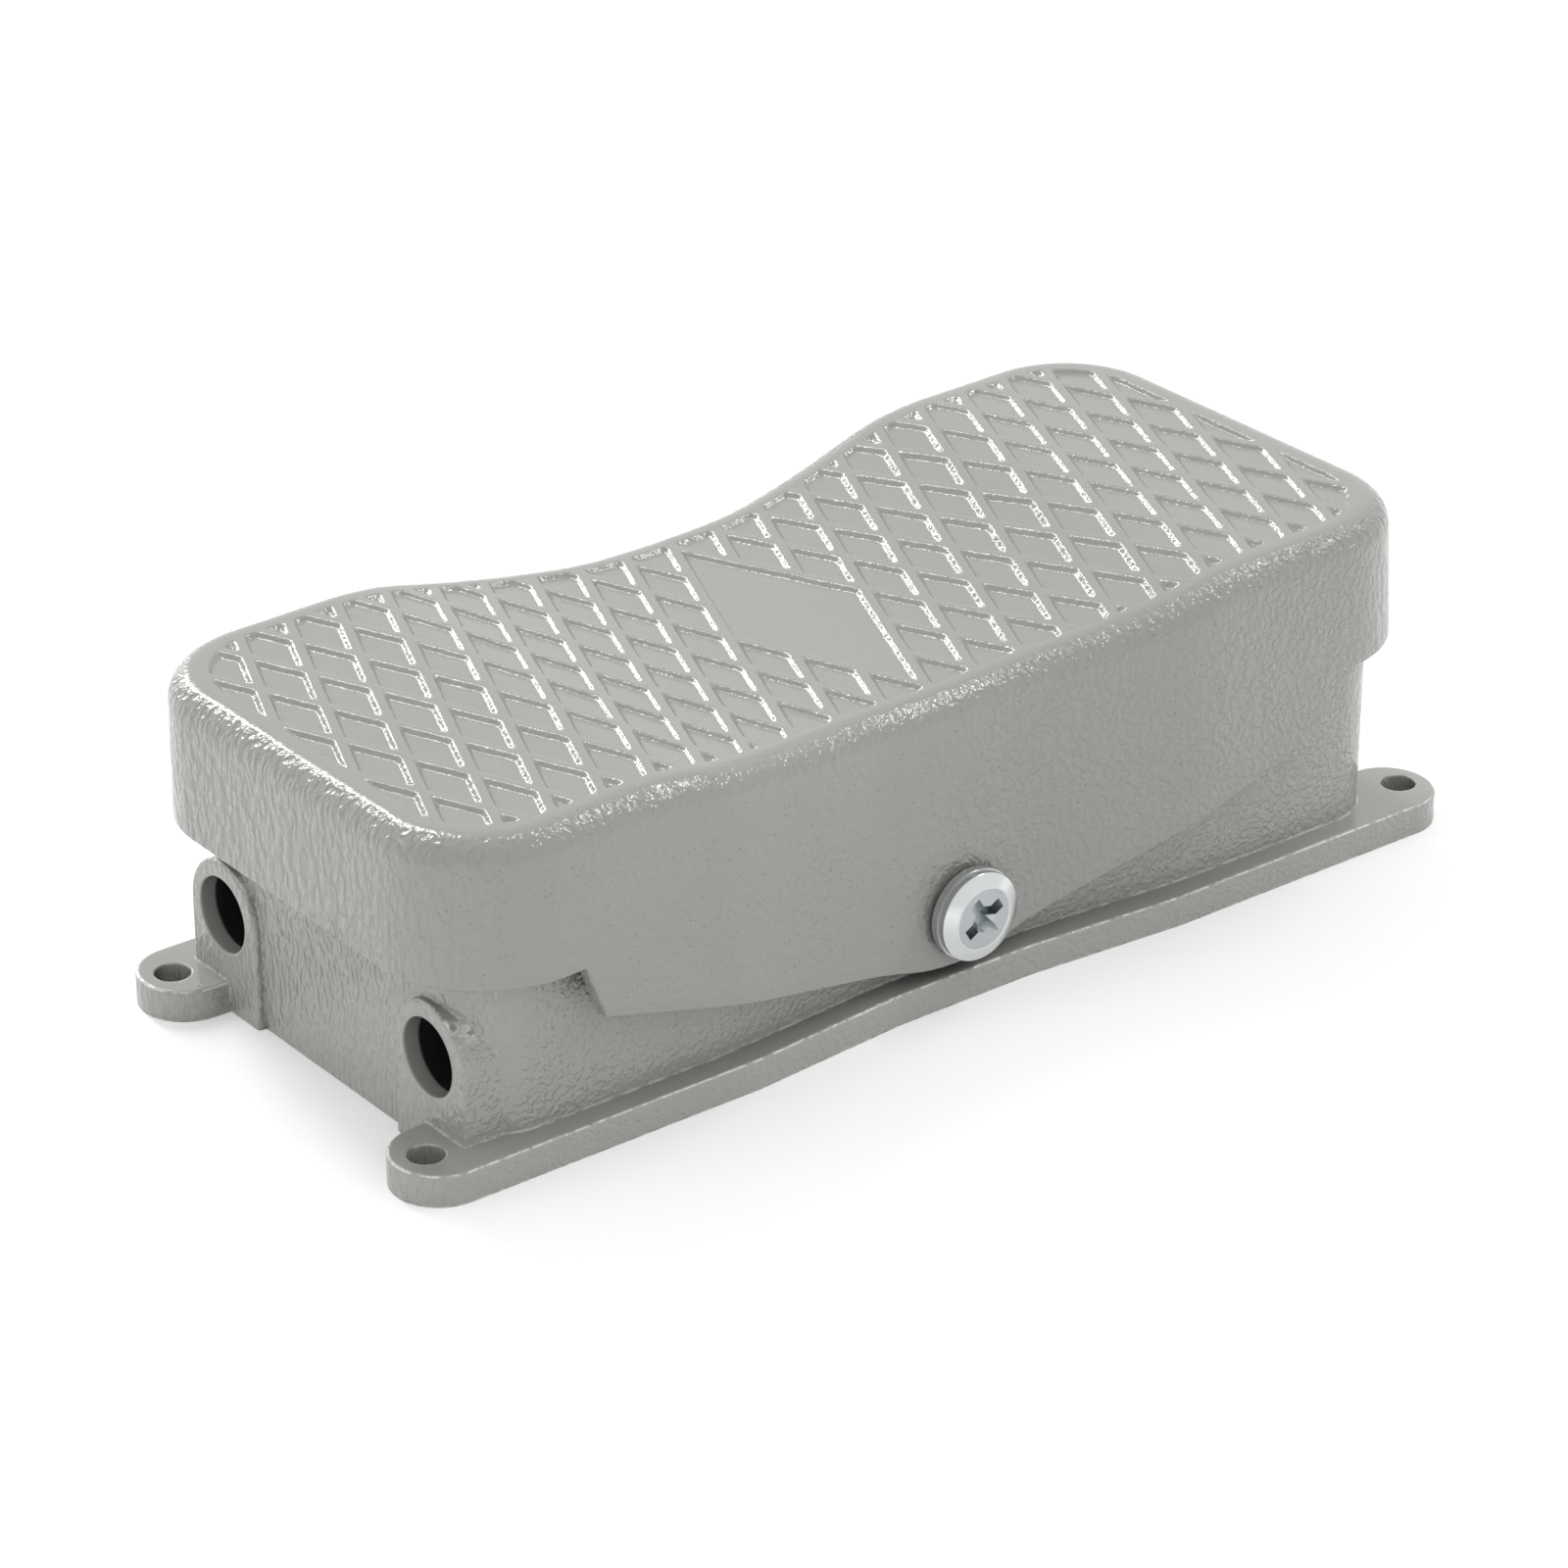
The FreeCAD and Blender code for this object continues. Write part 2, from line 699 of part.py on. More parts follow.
def make_tread_tools(middle, top, width):
    """Tools for the tread: a thin layer of the top parted by crossing ribs, and the large bare diamond."""
    pockets = new_body("tread_pockets")
    low = ceiling_low - dim.pivot_z
    height = top - low + SLACK
    lean = dim.tread_pitch_x / dim.tread_pitch_y
    reach = dim.tread_y + SLACK
    layer = new_sketch(pockets, "XY", low)
    closed_outline(layer, hourglass(dim.tread_x, dim.tread_y, dim.waist_flat, dim.waist_ramp, dim.tread_pinch,
                                    dim.tread_corner, middle))
    pad(pockets, layer, height)
    clear_under(pockets, middle, top, low, width)
    half_count = math.ceil((dim.tread_x + reach * lean).number / dim.tread_pitch_x.number)
    first = middle - dim.tread_pitch_x * (half_count - 0.5)
    for hand in (-1, 1):
        near = first - hand * reach * lean
        far = first + hand * reach * lean
        rib = new_sketch(pockets, "XY", low)
        closed_outline(rib, [(near - dim.tread_rib, -reach), (near + dim.tread_rib, -reach),
                             (far + dim.tread_rib, reach), (far - dim.tread_rib, reach)])
        gap = pockets.newObject("PartDesign::Pocket", "tread_rib")
        gap.Profile = rib
        gap.Reversed = True
        bind(gap, "Length", height)
        row = pockets.newObject("PartDesign::LinearPattern", "tread_rib_row")
        row.Originals = [gap]
        row.Direction = (rib, ["H_Axis"])
        row.Mode = "Spacing"
        bind(row, "Offset", dim.tread_pitch_x)
        row.Occurrences = 2 * half_count
        pockets.Tip = row
    doc.recompute()

    bare = new_body("tread_middle")
    half_x = 1.5 * dim.tread_pitch_x - dim.tread_rib
    half_y = half_x / lean
    diamond = new_sketch(bare, "XY", low)
    closed_outline(diamond, [(middle - half_x, 0), (middle, -half_y), (middle + half_x, 0), (middle, half_y)])
    pad(bare, diamond, height)
    clear_under(bare, middle, top, low, width)
    return [pockets, bare]


def clear_under(body, middle, top, low, width):
    """Cut away all of a tread tool that lies deeper than the tread."""
    floor = top - dim.tread_depth
    far = dim.pedal_x + SLACK
    side_view = new_sketch(body, "XZ")
    closed_outline(side_view, [(middle - far, floor), *dip_line(middle, floor), (middle + far, floor),
                               (middle + far, low - SLACK), (middle - far, low - SLACK)])
    pocket(body, side_view, width, both_ways=True)


def cut_skirt_line(body, middle, bottom, low, grown, width):
    """Cut the lower edge: level ends, a step, and a shallow V round the pivot."""
    round_x = dim.skirt_round * sine(dim.skirt_slope)
    round_z = bottom + dim.skirt_round * (1 - cosine(dim.skirt_slope))
    step_x = dim.skirt_x - dim.skirt_step
    step_z = round_z + (step_x - round_x) * tangent(dim.skirt_slope)
    end_x = dim.pedal_x + grown + SLACK
    side_view = new_sketch(body, "XZ")
    closed_outline(side_view, [
        (middle - end_x, bottom - SLACK), (middle + end_x, bottom - SLACK), (middle + end_x, low),
        (middle + dim.skirt_x, low), (middle + step_x, step_z), (middle + round_x, round_z, -dim.skirt_round),
        (middle - round_x, round_z), (middle - step_x, step_z), (middle - dim.skirt_x, low),
        (middle - end_x, low)])
    pocket(body, side_view, width, both_ways=True)


def hollow_pedal(body, middle, bottom, grown):
    """Hollow the casting from below, with a higher roof over the two ends."""
    core = new_sketch(body, "XY", bottom)
    around = grown - dim.pedal_wall
    closed_outline(core, hourglass(dim.pedal_x + around, dim.pedal_y + around, dim.waist_flat, dim.waist_ramp,
                                   dim.waist_depth, dim.pedal_corner + around, middle))
    pocket(body, core, ceiling_low - dim.pivot_z - bottom, reverse=True, taper=-dim.pedal_draft)
    shrink = (pedal_roof_under - dim.pedal_low) * tan_draft + dim.pedal_wall
    far = dim.pedal_x - shrink
    wide = dim.pedal_y - shrink
    corner = dim.pedal_corner - shrink
    ends = new_sketch(body, "XY", ceiling_low - dim.pivot_z)
    for side, _ in SIDES:
        chain = [(dim.roof_step, -wide), (far - corner, -wide, corner), (far, -(wide - corner)),
                 (far, wide - corner, corner), (far - corner, wide), (dim.roof_step, wide)]
        closed_outline(ends, [(middle + side * item[0], side * item[1], *item[2:]) for item in chain])
    pocket(body, ends, pedal_roof_under - ceiling_low, reverse=True)


def ride_on_pedal(thing, x, z):
    """Place a piece by its level position about the pivot line, then tilt it with the pedal at rest."""
    tilt = dim.rest_tilt
    place(thing, x * cosine(tilt) - z * sine(tilt), 0, dim.pivot_z + x * sine(tilt) + z * cosine(tilt),
          FreeCAD.Vector(0, -1, 0), tilt)


def dome_top(side, x, face, radius):
    """Height of a dome that meets a face of the tilted pedal with the touch gap."""
    tilt = dim.rest_tilt
    centre = (face - dim.pivot_z - radius - dim.touch_gap + side * x * sine(tilt)) / cosine(tilt)
    return dim.pivot_z + centre + radius


# Pivot screws, washers and bushes
def make_pivot(end, name):
    """Shoulder screw, its washer and the flanged bush in the pedal, on one side."""
    turn = 90 if end < 0 else -90
    across = FreeCAD.Vector(1, 0, 0)
    shoulder = head_seat - pivot_wall
    rim = shoulder + dim.head_rim
    face = rim + dim.head_bevel
    stem = dim.tub_wall + dim.pivot_boss_inside - SLACK
    pivot_screw = new_body(f"pivot_screw_{name}")
    revolve(pivot_screw, [(0, -stem), (dim.thread_r - dim.thread_chamfer, -stem),
                          (dim.thread_r, -stem + dim.thread_chamfer), (dim.thread_r, 0), (dim.shoulder_r, 0),
                          (dim.shoulder_r, shoulder), (dim.head_r, shoulder), (dim.head_r, rim),
                          (dim.head_flat_r, face), (0, face)])
    cross_recess(pivot_screw, face, dim.recess_arm, dim.recess_half, dim.recess_depth)
    place(pivot_screw, 0, end * pivot_wall, dim.pivot_z, across, turn)
    keep(pivot_screw)

    washer = new_body(f"pivot_washer_{name}")
    inside = dim.shoulder_r + dim.running_gap
    flat_washer(washer, inside, dim.washer_r, dim.washer_thick)
    place(washer, 0, end * washer_low, dim.pivot_z, across, turn)
    keep(washer)

    bush = new_body(f"pivot_bush_{name}")
    start = pivot_wall + dim.side_gap
    flange = bush_seat - start
    sleeve = bush_end - start
    revolve(bush, [(inside, 0), (dim.bush_flange_r, 0), (dim.bush_flange_r, flange), (dim.bush_r, flange),
                   (dim.bush_r, sleeve), (inside, sleeve)])
    place(bush, 0, end * start, dim.pivot_z, across, turn)
    keep(bush)


# Switch plate and contact blocks
def make_plate():
    """Steel plate that carries both contact blocks, and its four screws."""
    body = new_body("switch_plate")
    outline = new_sketch(body, "XY")
    x, y, corner = dim.plate_x, dim.plate_y, dim.plate_corner
    half = [(-x + corner, -y), (x - corner, -y, corner), (x, -y + corner), (x, y - corner, corner)]
    closed_outline(outline, half + [(-item[0], -item[1], *item[2:]) for item in half])
    pad(body, outline, dim.plate_thick)
    spots = four_places(dim.plate_screw_x, dim.plate_screw_y)
    feet = [(side * dim.block_x + end * dim.block_screw_x, 0) for side, _ in SIDES for end, _ in ENDS]
    wide = dim.plate_screw_r + dim.screw_gap
    narrow = dim.block_screw_r + dim.thread_gap
    for places, radius in ((spots, wide), (feet, narrow)):
        holes = new_sketch(body, "XY", dim.plate_thick)
        for hole_x, hole_y in places:
            circle(holes, hole_x, hole_y, radius)
        pocket(body, holes, dim.plate_thick + SLACK)
    place(body, 0, 0, dim.plate_seat)
    keep(body)
    screws = []
    for spot_x, spot_y in spots:
        fastener = screw("plate_screw", dim.plate_screw_r, dim.plate_screw_bite,
                         dim.plate_head_r, dim.plate_head)
        place(fastener, spot_x, spot_y, dim.plate_seat + dim.plate_thick)
        screws.append(fastener)
    group("plate_screws", screws)


def make_contact_block(side, name):
    """Contact block with its plunger, terminal clamps and all its screws."""
    middle = side * dim.block_x
    foot = dim.plate_seat + dim.plate_thick
    body = new_body(f"contact_block_{name}")
    shelf = new_sketch(body, "XY")
    rectangle(shelf, -dim.block_half, dim.block_half, -dim.block_y, dim.block_y)
    pad(body, shelf, dim.block_shelf)
    corners = [(x.number, y.number) for x, y in four_places(dim.block_half, dim.block_y)]
    round_edges(body, dim.block_corner, lambda edge: stands_near(edge, corners))
    barrier = new_sketch(body, "XY", dim.block_shelf - SLACK)
    rectangle(barrier, -dim.barrier_half, dim.barrier_half, -dim.block_y, dim.block_y)
    pad(body, barrier, dim.barrier_top - dim.block_shelf + SLACK)
    tower = new_sketch(body, "XY", dim.block_shelf - SLACK)
    rectangle(tower, -dim.tower_half, dim.tower_half, -dim.tower_y, dim.tower_y)
    pad(body, tower, dim.tower_top - dim.block_shelf + SLACK)
    clamp_points = four_places(dim.clamp_x, dim.clamp_y)
    feet = [(s * dim.block_screw_x, 0) for s, _ in SIDES]
    drill(body, [(0, 0)], dim.plunger_r + dim.thread_gap, dim.tower_top, dim.plunger_well)
    drill(body, clamp_points, dim.clamp_screw_r + dim.thread_gap, dim.block_shelf, dim.clamp_screw)
    drill(body, feet, dim.block_screw_r + dim.thread_gap, dim.block_shelf, dim.block_shelf + SLACK)
    place(body, middle, 0, foot)
    keep(body)

    plunger = new_body(f"plunger_{name}")
    radius = dim.plunger_dome_r
    sag = radius - root(radius * radius - dim.plunger_cap_r * dim.plunger_cap_r)
    end = -(dim.plunger_rise + dim.plunger_sunk)
    revolve(plunger, [(0, end), (dim.plunger_r, end), (dim.plunger_r, -dim.plunger_cap),
                      (dim.plunger_cap_r, -dim.plunger_cap), (dim.plunger_cap_r, -sag, radius), (0, 0)])
    place(plunger, middle, 0, dome_top(side, dim.block_x, bolt_tip, radius))
    keep(plunger)

    shelf_z = foot + dim.block_shelf
    clamps = []
    clamp_screws = []
    for clamp_x, clamp_y in clamp_points:
        clamp = new_body("terminal_clamp")
        plan = new_sketch(clamp, "XY")
        rectangle(plan, -dim.clamp_half, dim.clamp_half, -dim.clamp_depth, dim.clamp_depth)
        circle(plan, 0, 0, dim.clamp_screw_r + dim.screw_gap)
        pad(clamp, plan, dim.clamp_thick)
        place(clamp, middle + clamp_x, clamp_y, shelf_z)
        clamps.append(clamp)
        fastener = screw("terminal_screw", dim.clamp_screw_r, dim.clamp_screw,
                         dim.clamp_head_r, dim.clamp_head)
        place(fastener, middle + clamp_x, clamp_y, shelf_z + dim.clamp_thick)
        clamp_screws.append(fastener)
    group(f"terminal_clamps_{name}", clamps)
    group(f"terminal_screws_{name}", clamp_screws)
    fixings = []
    for foot_x, foot_y in feet:
        fastener = screw("block_screw", dim.block_screw_r, dim.block_shelf + dim.plate_thick,
                         dim.block_head_r, dim.block_head)
        place(fastener, middle + foot_x, foot_y, shelf_z)
        fixings.append(fastener)
    group(f"block_screws_{name}", fixings)


# Adjusting bolts and locknuts under the pedal
def make_adjuster(side, name):
    """Hexagon bolt that presses the plunger, and the nut that locks it."""
    corner = dim.bolt_flats / (2 * cosine(as_size(30)))
    bolt = new_body(f"actuator_bolt_{name}")
    head = new_sketch(bolt, "XY")
    polygon(head, 0, 0, corner, 6)
    pad(bolt, head, dim.bolt_head)
    shank = new_sketch(bolt, "XY", dim.bolt_head - SLACK)
    circle(shank, 0, 0, dim.bolt_r)
    pad(bolt, shank, dim.nut_thick + dim.bolt_bite + SLACK)
    ride_on_pedal(bolt, side * dim.block_x, bolt_tip - dim.pivot_z)
    keep(bolt)
    nut = new_body(f"actuator_nut_{name}")
    outline = new_sketch(nut, "XY")
    polygon(outline, 0, 0, corner, 6)
    circle(outline, 0, 0, dim.bolt_r + dim.thread_gap)
    pad(nut, outline, dim.nut_thick)
    ride_on_pedal(nut, side * dim.block_x, dim.bolt_boss_low - dim.nut_thick - dim.pivot_z)
    keep(nut)


# Return springs
def make_return(side, name):
    """Domed cap that slides on its post, and the coil spring under it."""
    cap = new_body(f"spring_cap_{name}")
    radius = dim.cap_dome_r
    sag = radius - root(radius * radius - dim.cap_r * dim.cap_r)
    bore = dim.post_r + dim.running_gap
    low = -dim.cap_length
    revolve(cap, [(bore, low), (dim.cap_flange_r, low), (dim.cap_flange_r, low + dim.cap_flange),
                  (dim.cap_r, low + dim.cap_flange), (dim.cap_r, -sag, radius), (0, 0), (0, -dim.cap_roof),
                  (bore, -dim.cap_roof)])
    top = dome_top(side, dim.spring_x, pedal_roof_under, radius)
    place(cap, side * dim.spring_x, 0, top)
    keep(cap)

    spring = new_body(f"return_spring_{name}")
    section = new_sketch(spring, "XZ")
    polygon(section, dim.spring_r, dim.spring_wire, dim.spring_wire, 8)
    coil = spring.newObject("PartDesign::AdditiveHelix", f"{spring.Name}_coil")
    coil.Profile = section
    coil.ReferenceAxis = (section, ["V_Axis"])
    coil.Mode = "height-turns-angle"
    bind(coil, "Height", top - dim.cap_length - dim.spring_seat - 2 * dim.spring_wire)
    bind(coil, "Turns", dim.spring_turns)
    place(spring, side * dim.spring_x, 0, dim.spring_seat)
    keep(spring)


# Rubber stops
def make_stop(side, name):
    """Rubber button, pushed into its post, that the pedal's roof lands on."""
    body = new_body(f"rubber_stop_{name}")
    tilt = dim.rock_angle
    roof = (pedal_roof_under - dim.pivot_z) / cosine(tilt) - (dim.stop_x + dim.stop_r) * tangent(tilt)
    height = dim.pivot_z + roof - dim.stop_gap - dim.stop_post_top
    rim = dim.stop_rim_r
    revolve(body, [(0, -dim.stop_stem), (dim.stop_stem_r, -dim.stop_stem), (dim.stop_stem_r, 0),
                   (dim.stop_r, 0), (dim.stop_r, height - rim, rim), (dim.stop_r - rim, height), (0, height)])
    place(body, side * dim.stop_x, 0, dim.stop_post_top)
    keep(body)


# Earth terminal
def make_earth():
    """Earth screw and its cup washer on the boss near the cable entries."""
    washer = new_body("earth_washer")
    inside = dim.earth_screw_r + dim.screw_gap
    flat_washer(washer, inside, dim.earth_cup_r, dim.earth_cup)
    place(washer, -dim.earth_x, dim.earth_y, dim.earth_boss_top)
    keep(washer)
    earth = screw("earth_screw", dim.earth_screw_r, dim.earth_cup + dim.earth_screw_bite, dim.earth_head_r,
                  dim.earth_head)
    place(earth, -dim.earth_x, dim.earth_y, dim.earth_boss_top + dim.earth_cup)
    keep(earth)


bolt_tip = dim.bolt_boss_low - dim.nut_thick - dim.bolt_head

make_housing()
make_pedal()
for end, name in ENDS:
    make_pivot(end, name)
make_plate()
for side, name in SIDES:
    make_contact_block(side, name)
    make_adjuster(side, name)
    make_return(side, name)
    make_stop(side, name)
make_earth()
doc.recompute()

for thing in doc.Objects:
    if {"Invalid", "Error"} & set(thing.State):
        raise RuntimeError(f"{thing.Label} failed: {thing.State}")
os.makedirs("parts", exist_ok=True)
for thing in subparts:
    if thing.Shape.isNull() or not thing.Shape.isValid():
        raise RuntimeError(f"{thing.Label} has no valid shape")
for thing in subparts:
    thing.Shape.exportStep(os.path.join("parts", f"{thing.Label}.step"))
print(f"{len(subparts)} sub-parts written")
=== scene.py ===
"""Studio scene of an industrial rocker foot switch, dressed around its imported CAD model."""

import json
import logging
import math
from dataclasses import dataclass
from enum import Enum

import bmesh
import bpy
import numpy as np
from mathutils import Euler, Matrix, Vector


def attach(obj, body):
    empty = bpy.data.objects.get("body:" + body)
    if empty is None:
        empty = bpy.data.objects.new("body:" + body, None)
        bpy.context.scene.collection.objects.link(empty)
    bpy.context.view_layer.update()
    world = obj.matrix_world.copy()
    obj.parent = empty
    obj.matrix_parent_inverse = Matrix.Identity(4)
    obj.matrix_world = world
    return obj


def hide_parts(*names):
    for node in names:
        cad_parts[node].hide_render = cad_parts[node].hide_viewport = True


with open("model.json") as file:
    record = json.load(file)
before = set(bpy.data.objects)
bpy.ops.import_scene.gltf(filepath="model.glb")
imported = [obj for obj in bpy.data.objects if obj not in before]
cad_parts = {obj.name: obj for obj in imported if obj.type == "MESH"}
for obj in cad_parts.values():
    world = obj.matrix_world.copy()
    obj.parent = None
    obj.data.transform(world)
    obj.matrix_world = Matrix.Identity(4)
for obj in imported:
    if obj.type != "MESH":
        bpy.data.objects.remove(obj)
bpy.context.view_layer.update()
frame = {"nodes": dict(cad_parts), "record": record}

LOG = logging.getLogger("foot_switch")
MM = 0.001
PIVOT_Z = 14.6
WHITE = (1.0, 1.0, 1.0, 1.0)

# Places of the Mix node's sockets, whose names are the same for numbers and colours.
NUMBER_A, NUMBER_B = 2, 3
COLOUR_A, COLOUR_B, COLOUR_OUT = 6, 7, 2

Socket = bpy.types.NodeSocket
Inputs = bpy.types.NodeInputs
Outputs = bpy.types.NodeOutputs
Span = tuple[float, float]
Triple = tuple[float, float, float]
Colour = tuple[float, float, float, float]
Faces = list[tuple[int, ...]]


class Slot(Enum):
    """Material slots of the record."""

    GREY_PAINT = "grey_paint"
    ZINC = "zinc"
    BRONZE = "bronze"
    BLOCK_PLASTIC = "block_plastic"
    PLUNGER_PLASTIC = "plunger_plastic"
    BRASS = "brass"
    SPRING_STEEL = "spring_steel"
    BLACK_RUBBER = "black_rubber"


class Coat(Enum):
    """Places on the castings where the stoved paint flowed differently; the tub's coat also carries painted
    highlights on its edges and painted shade in its cable bores.
    """

    PEDAL = "pedal_paint"
    TREAD = "tread_paint"
    TUB = "tub_paint"


class Wiring:
    """Short calls that add and join nodes in one node tree."""

    def __init__(self, tree: bpy.types.NodeTree) -> None:
        """Keep the tree that is wired."""
        self.tree = tree

    def feed(self, socket: Socket, source: object) -> None:
        """Link a socket to another socket, or give it a plain value.

        Args:
            socket: Input that is fed.
            source: Output socket or value.
        """
        if isinstance(source, Socket):
            self.tree.links.new(source, socket)
        else:
            socket.default_value = source

    def node(self, kind: str, feeds: dict[object, object], **settings: object) -> bpy.types.Node:
        """Add a node and feed its inputs.

        Args:
            kind: Node type without its "ShaderNode" prefix.
            feeds: Sockets or values by the name or number of the input.
            **settings: Properties of the node.

        Returns:
            The new node.
        """
        made = self.tree.nodes.new(f"ShaderNode{kind}")
        for name, value in settings.items():
            setattr(made, name, value)
        for name, source in feeds.items():
            self.feed(made.inputs[name], source)
        return made

    def maths(self, operation: str, *sources: object) -> Socket:
        """Result of a Math node on up to three sockets or numbers."""
        return self.node("Math", dict(enumerate(sources)), operation=operation).outputs[0]

    def ramp(self, source: Socket, span: Span, to_low: object = 0.0, to_high: object = 1.0) -> Socket:
        """Smooth step of a value over a span, from one result to another."""
        feeds = {"Value": source, "From Min": span[0], "From Max": span[1], "To Min": to_low, "To Max": to_high}
        return self.node("MapRange", feeds, interpolation_type="SMOOTHSTEP").outputs[0]

    def fall(self, source: Socket, span: Span) -> Socket:
        """Smooth step of a value over a span, from one down to nothing."""
        return self.ramp(source, span, 1.0, 0.0)

    def place(self, stretch: Triple = (1.0, 1.0, 1.0)) -> Socket:
        """Object coordinates in metres, stretched along the axes."""
        where = self.node("TexCoord", {}).outputs["Object"]
        return self.node("Mapping", {"Vector": where, "Scale": stretch}).outputs[0]

    def facing(self, kind: str = "Normal") -> Socket:
        """Normal of the surface."""
        return self.node("NewGeometry", {}).outputs[kind]

    def split(self, vector: Socket) -> tuple[Socket, Socket, Socket]:
        """Parts of a vector along the three axes."""
        return tuple(self.node("SeparateXYZ", {0: vector}).outputs)

    def noise(self, where: Socket, scale: object, detail: float = 1.0, roughness: float = 0.5) -> Socket:
        """Value of a noise texture."""
        feeds = {"Vector": where, "Scale": scale, "Detail": detail, "Roughness": roughness}
        return self.node("TexNoise", feeds).outputs[0]

    def mix(self, amount: object, first: object, second: object) -> Socket:
        """Blend of two colours."""
        feeds = {"Factor": amount, COLOUR_A: first, COLOUR_B: second}
        return self.node("Mix", feeds, data_type="RGBA").outputs[COLOUR_OUT]

    def bump(self, height: Socket, distance: float, below: Socket | None = None) -> Socket:
        """Normal from a height, laid over another normal if one is given."""
        feeds = {"Height": height, "Distance": distance, "Strength": 1.0}
        return self.node("Bump", feeds if below is None else feeds | {"Normal": below}).outputs[0]

    def group(self, tree: bpy.types.NodeTree, **values: object) -> Outputs:
        """Outputs of a placed node group, whose inputs are named with underscores for spaces."""
        feeds = {name.replace("_", " "): value for name, value in values.items()}
        return self.node("Group", feeds, node_tree=tree).outputs


def new_group(name: str, inputs: tuple[str, ...], outputs: tuple[str, ...]) -> tuple[Wiring, Outputs, Inputs]:
    """Make an empty shader node group with named value sockets.

    Args:
        name: Name of the group.
        inputs: Names of its inputs.
        outputs: Names of its outputs.

    Returns:
        The group's wiring, the values given to it and the sockets of its results.
    """
    group = bpy.data.node_groups.new(name, "ShaderNodeTree")
    for way, titles in (("INPUT", inputs), ("OUTPUT", outputs)):
        for title in titles:
            group.interface.new_socket(name=title, in_out=way, socket_type="NodeSocketFloat")
    given = group.nodes.new("NodeGroupInput").outputs
    return Wiring(group), given, group.nodes.new("NodeGroupOutput").inputs


@dataclass(frozen=True)
class StoveGrain:
    """Orange peel of thick stoved paint, which runs in upright wrinkles on the end walls."""

    round_stretch: Triple = (1.2, 1.2, 1.2)
    round_span: Span = (0.35, 0.7)
    round_most: float = 0.85
    long_stretch: Triple = (1.0, 1.0, 0.5)
    long_span: Span = (0.32, 0.68)
    end_span: Span = (0.12, 0.5)
    level_span: Span = (0.9, 0.98)
    edge_span: Span = (0.3, 0.6)
    patch_scale: float = 28.0
    patch_span: Span = (0.38, 0.62)
    patch_share: float = 0.5
    left_span: Span = (-0.06, 0.05)
    swell_scale: float = 240.0
    swell: float = 0.5
    pit_scale: float = 900.0
    pit_span: Span = (0.05, 0.16)
    pit_rarity: float = 0.6

    def loudness(self, w: Wiring, given: Outputs, here: Socket, on_end: Socket, up: Socket) -> Socket:
        """How strong the orange peel is, by the side that a face points to.

        Args:
            w: Wiring of the group.
            given: Values given to the group.
            here: Place on the piece.
            on_end: Mask of the end walls.
            up: Upward part of the normal.

        Returns:
            The strength.
        """
        patches = w.ramp(w.noise(here, self.patch_scale), self.patch_span)
        along = w.ramp(w.split(here)[0], self.left_span, given["Left Share"], 1.0)
        patchy = w.maths("MULTIPLY_ADD", patches, self.patch_share, 1.0 - self.patch_share)
        side_most = w.maths("SUBTRACT", 1.0, given["Side Calm"])
        on_side = w.maths("MULTIPLY", side_most, w.maths("MULTIPLY", along, patchy))
        loud = w.maths("MULTIPLY_ADD", on_end, w.maths("SUBTRACT", 1.0, on_side), on_side)
        loud = w.maths("MULTIPLY_ADD", w.ramp(up, self.edge_span), given["Edge Peel"], loud)
        calm = w.maths("MULTIPLY", w.ramp(up, self.level_span), given["Level Calm"])
        return w.maths("MULTIPLY", loud, w.maths("SUBTRACT", 1.0, calm))

    def pits(self, w: Wiring, here: Socket) -> Socket:
        """Mask of small pits, at some of the points of a cell pattern.

        Args:
            w: Wiring of the group.
            here: Place on the piece.

        Returns:
            The mask.
        """
        spots = w.node("TexVoronoi", {"Vector": here, "Scale": self.pit_scale}, feature="F1").outputs
        chosen = w.node("SeparateColor", {0: spots["Color"]}).outputs[0]
        few = w.maths("GREATER_THAN", chosen, self.pit_rarity)
        return w.maths("MULTIPLY", w.fall(spots["Distance"], self.pit_span), few)

    def group(self) -> bpy.types.NodeTree:
        """Make the node group.

        Returns:
            A group with the height, and a mask of small pits.
        """
        w, given, out = new_group("stove_grain", ("Peel Scale", "Level Calm", "Side Calm", "Edge Peel", "Left Share",
                                                  "Ripple Scale", "Ripple"), ("Height", "Pits"))
        here = w.place()
        toward_x, _, up = w.split(w.facing())
        on_end = w.ramp(w.maths("ABSOLUTE", toward_x), self.end_span)
        round_peel = w.ramp(w.noise(w.place(self.round_stretch), given["Peel Scale"]), self.round_span,
                            to_high=self.round_most)
        long_peel = w.ramp(w.noise(w.place(self.long_stretch), given["Peel Scale"]), self.long_span)
        peel = w.node("Mix", {0: on_end, NUMBER_A: round_peel, NUMBER_B: long_peel}, data_type="FLOAT").outputs[0]
        height = w.maths("MULTIPLY_ADD", w.noise(here, self.swell_scale), self.swell,
                         w.maths("MULTIPLY", peel, self.loudness(w, given, here, on_end, up)))
        ripple = w.noise(here, given["Ripple Scale"])
        w.feed(out["Height"], w.maths("MULTIPLY_ADD", ripple, given["Ripple"], height))
        w.feed(out["Pits"], self.pits(w, here))
        return w.tree


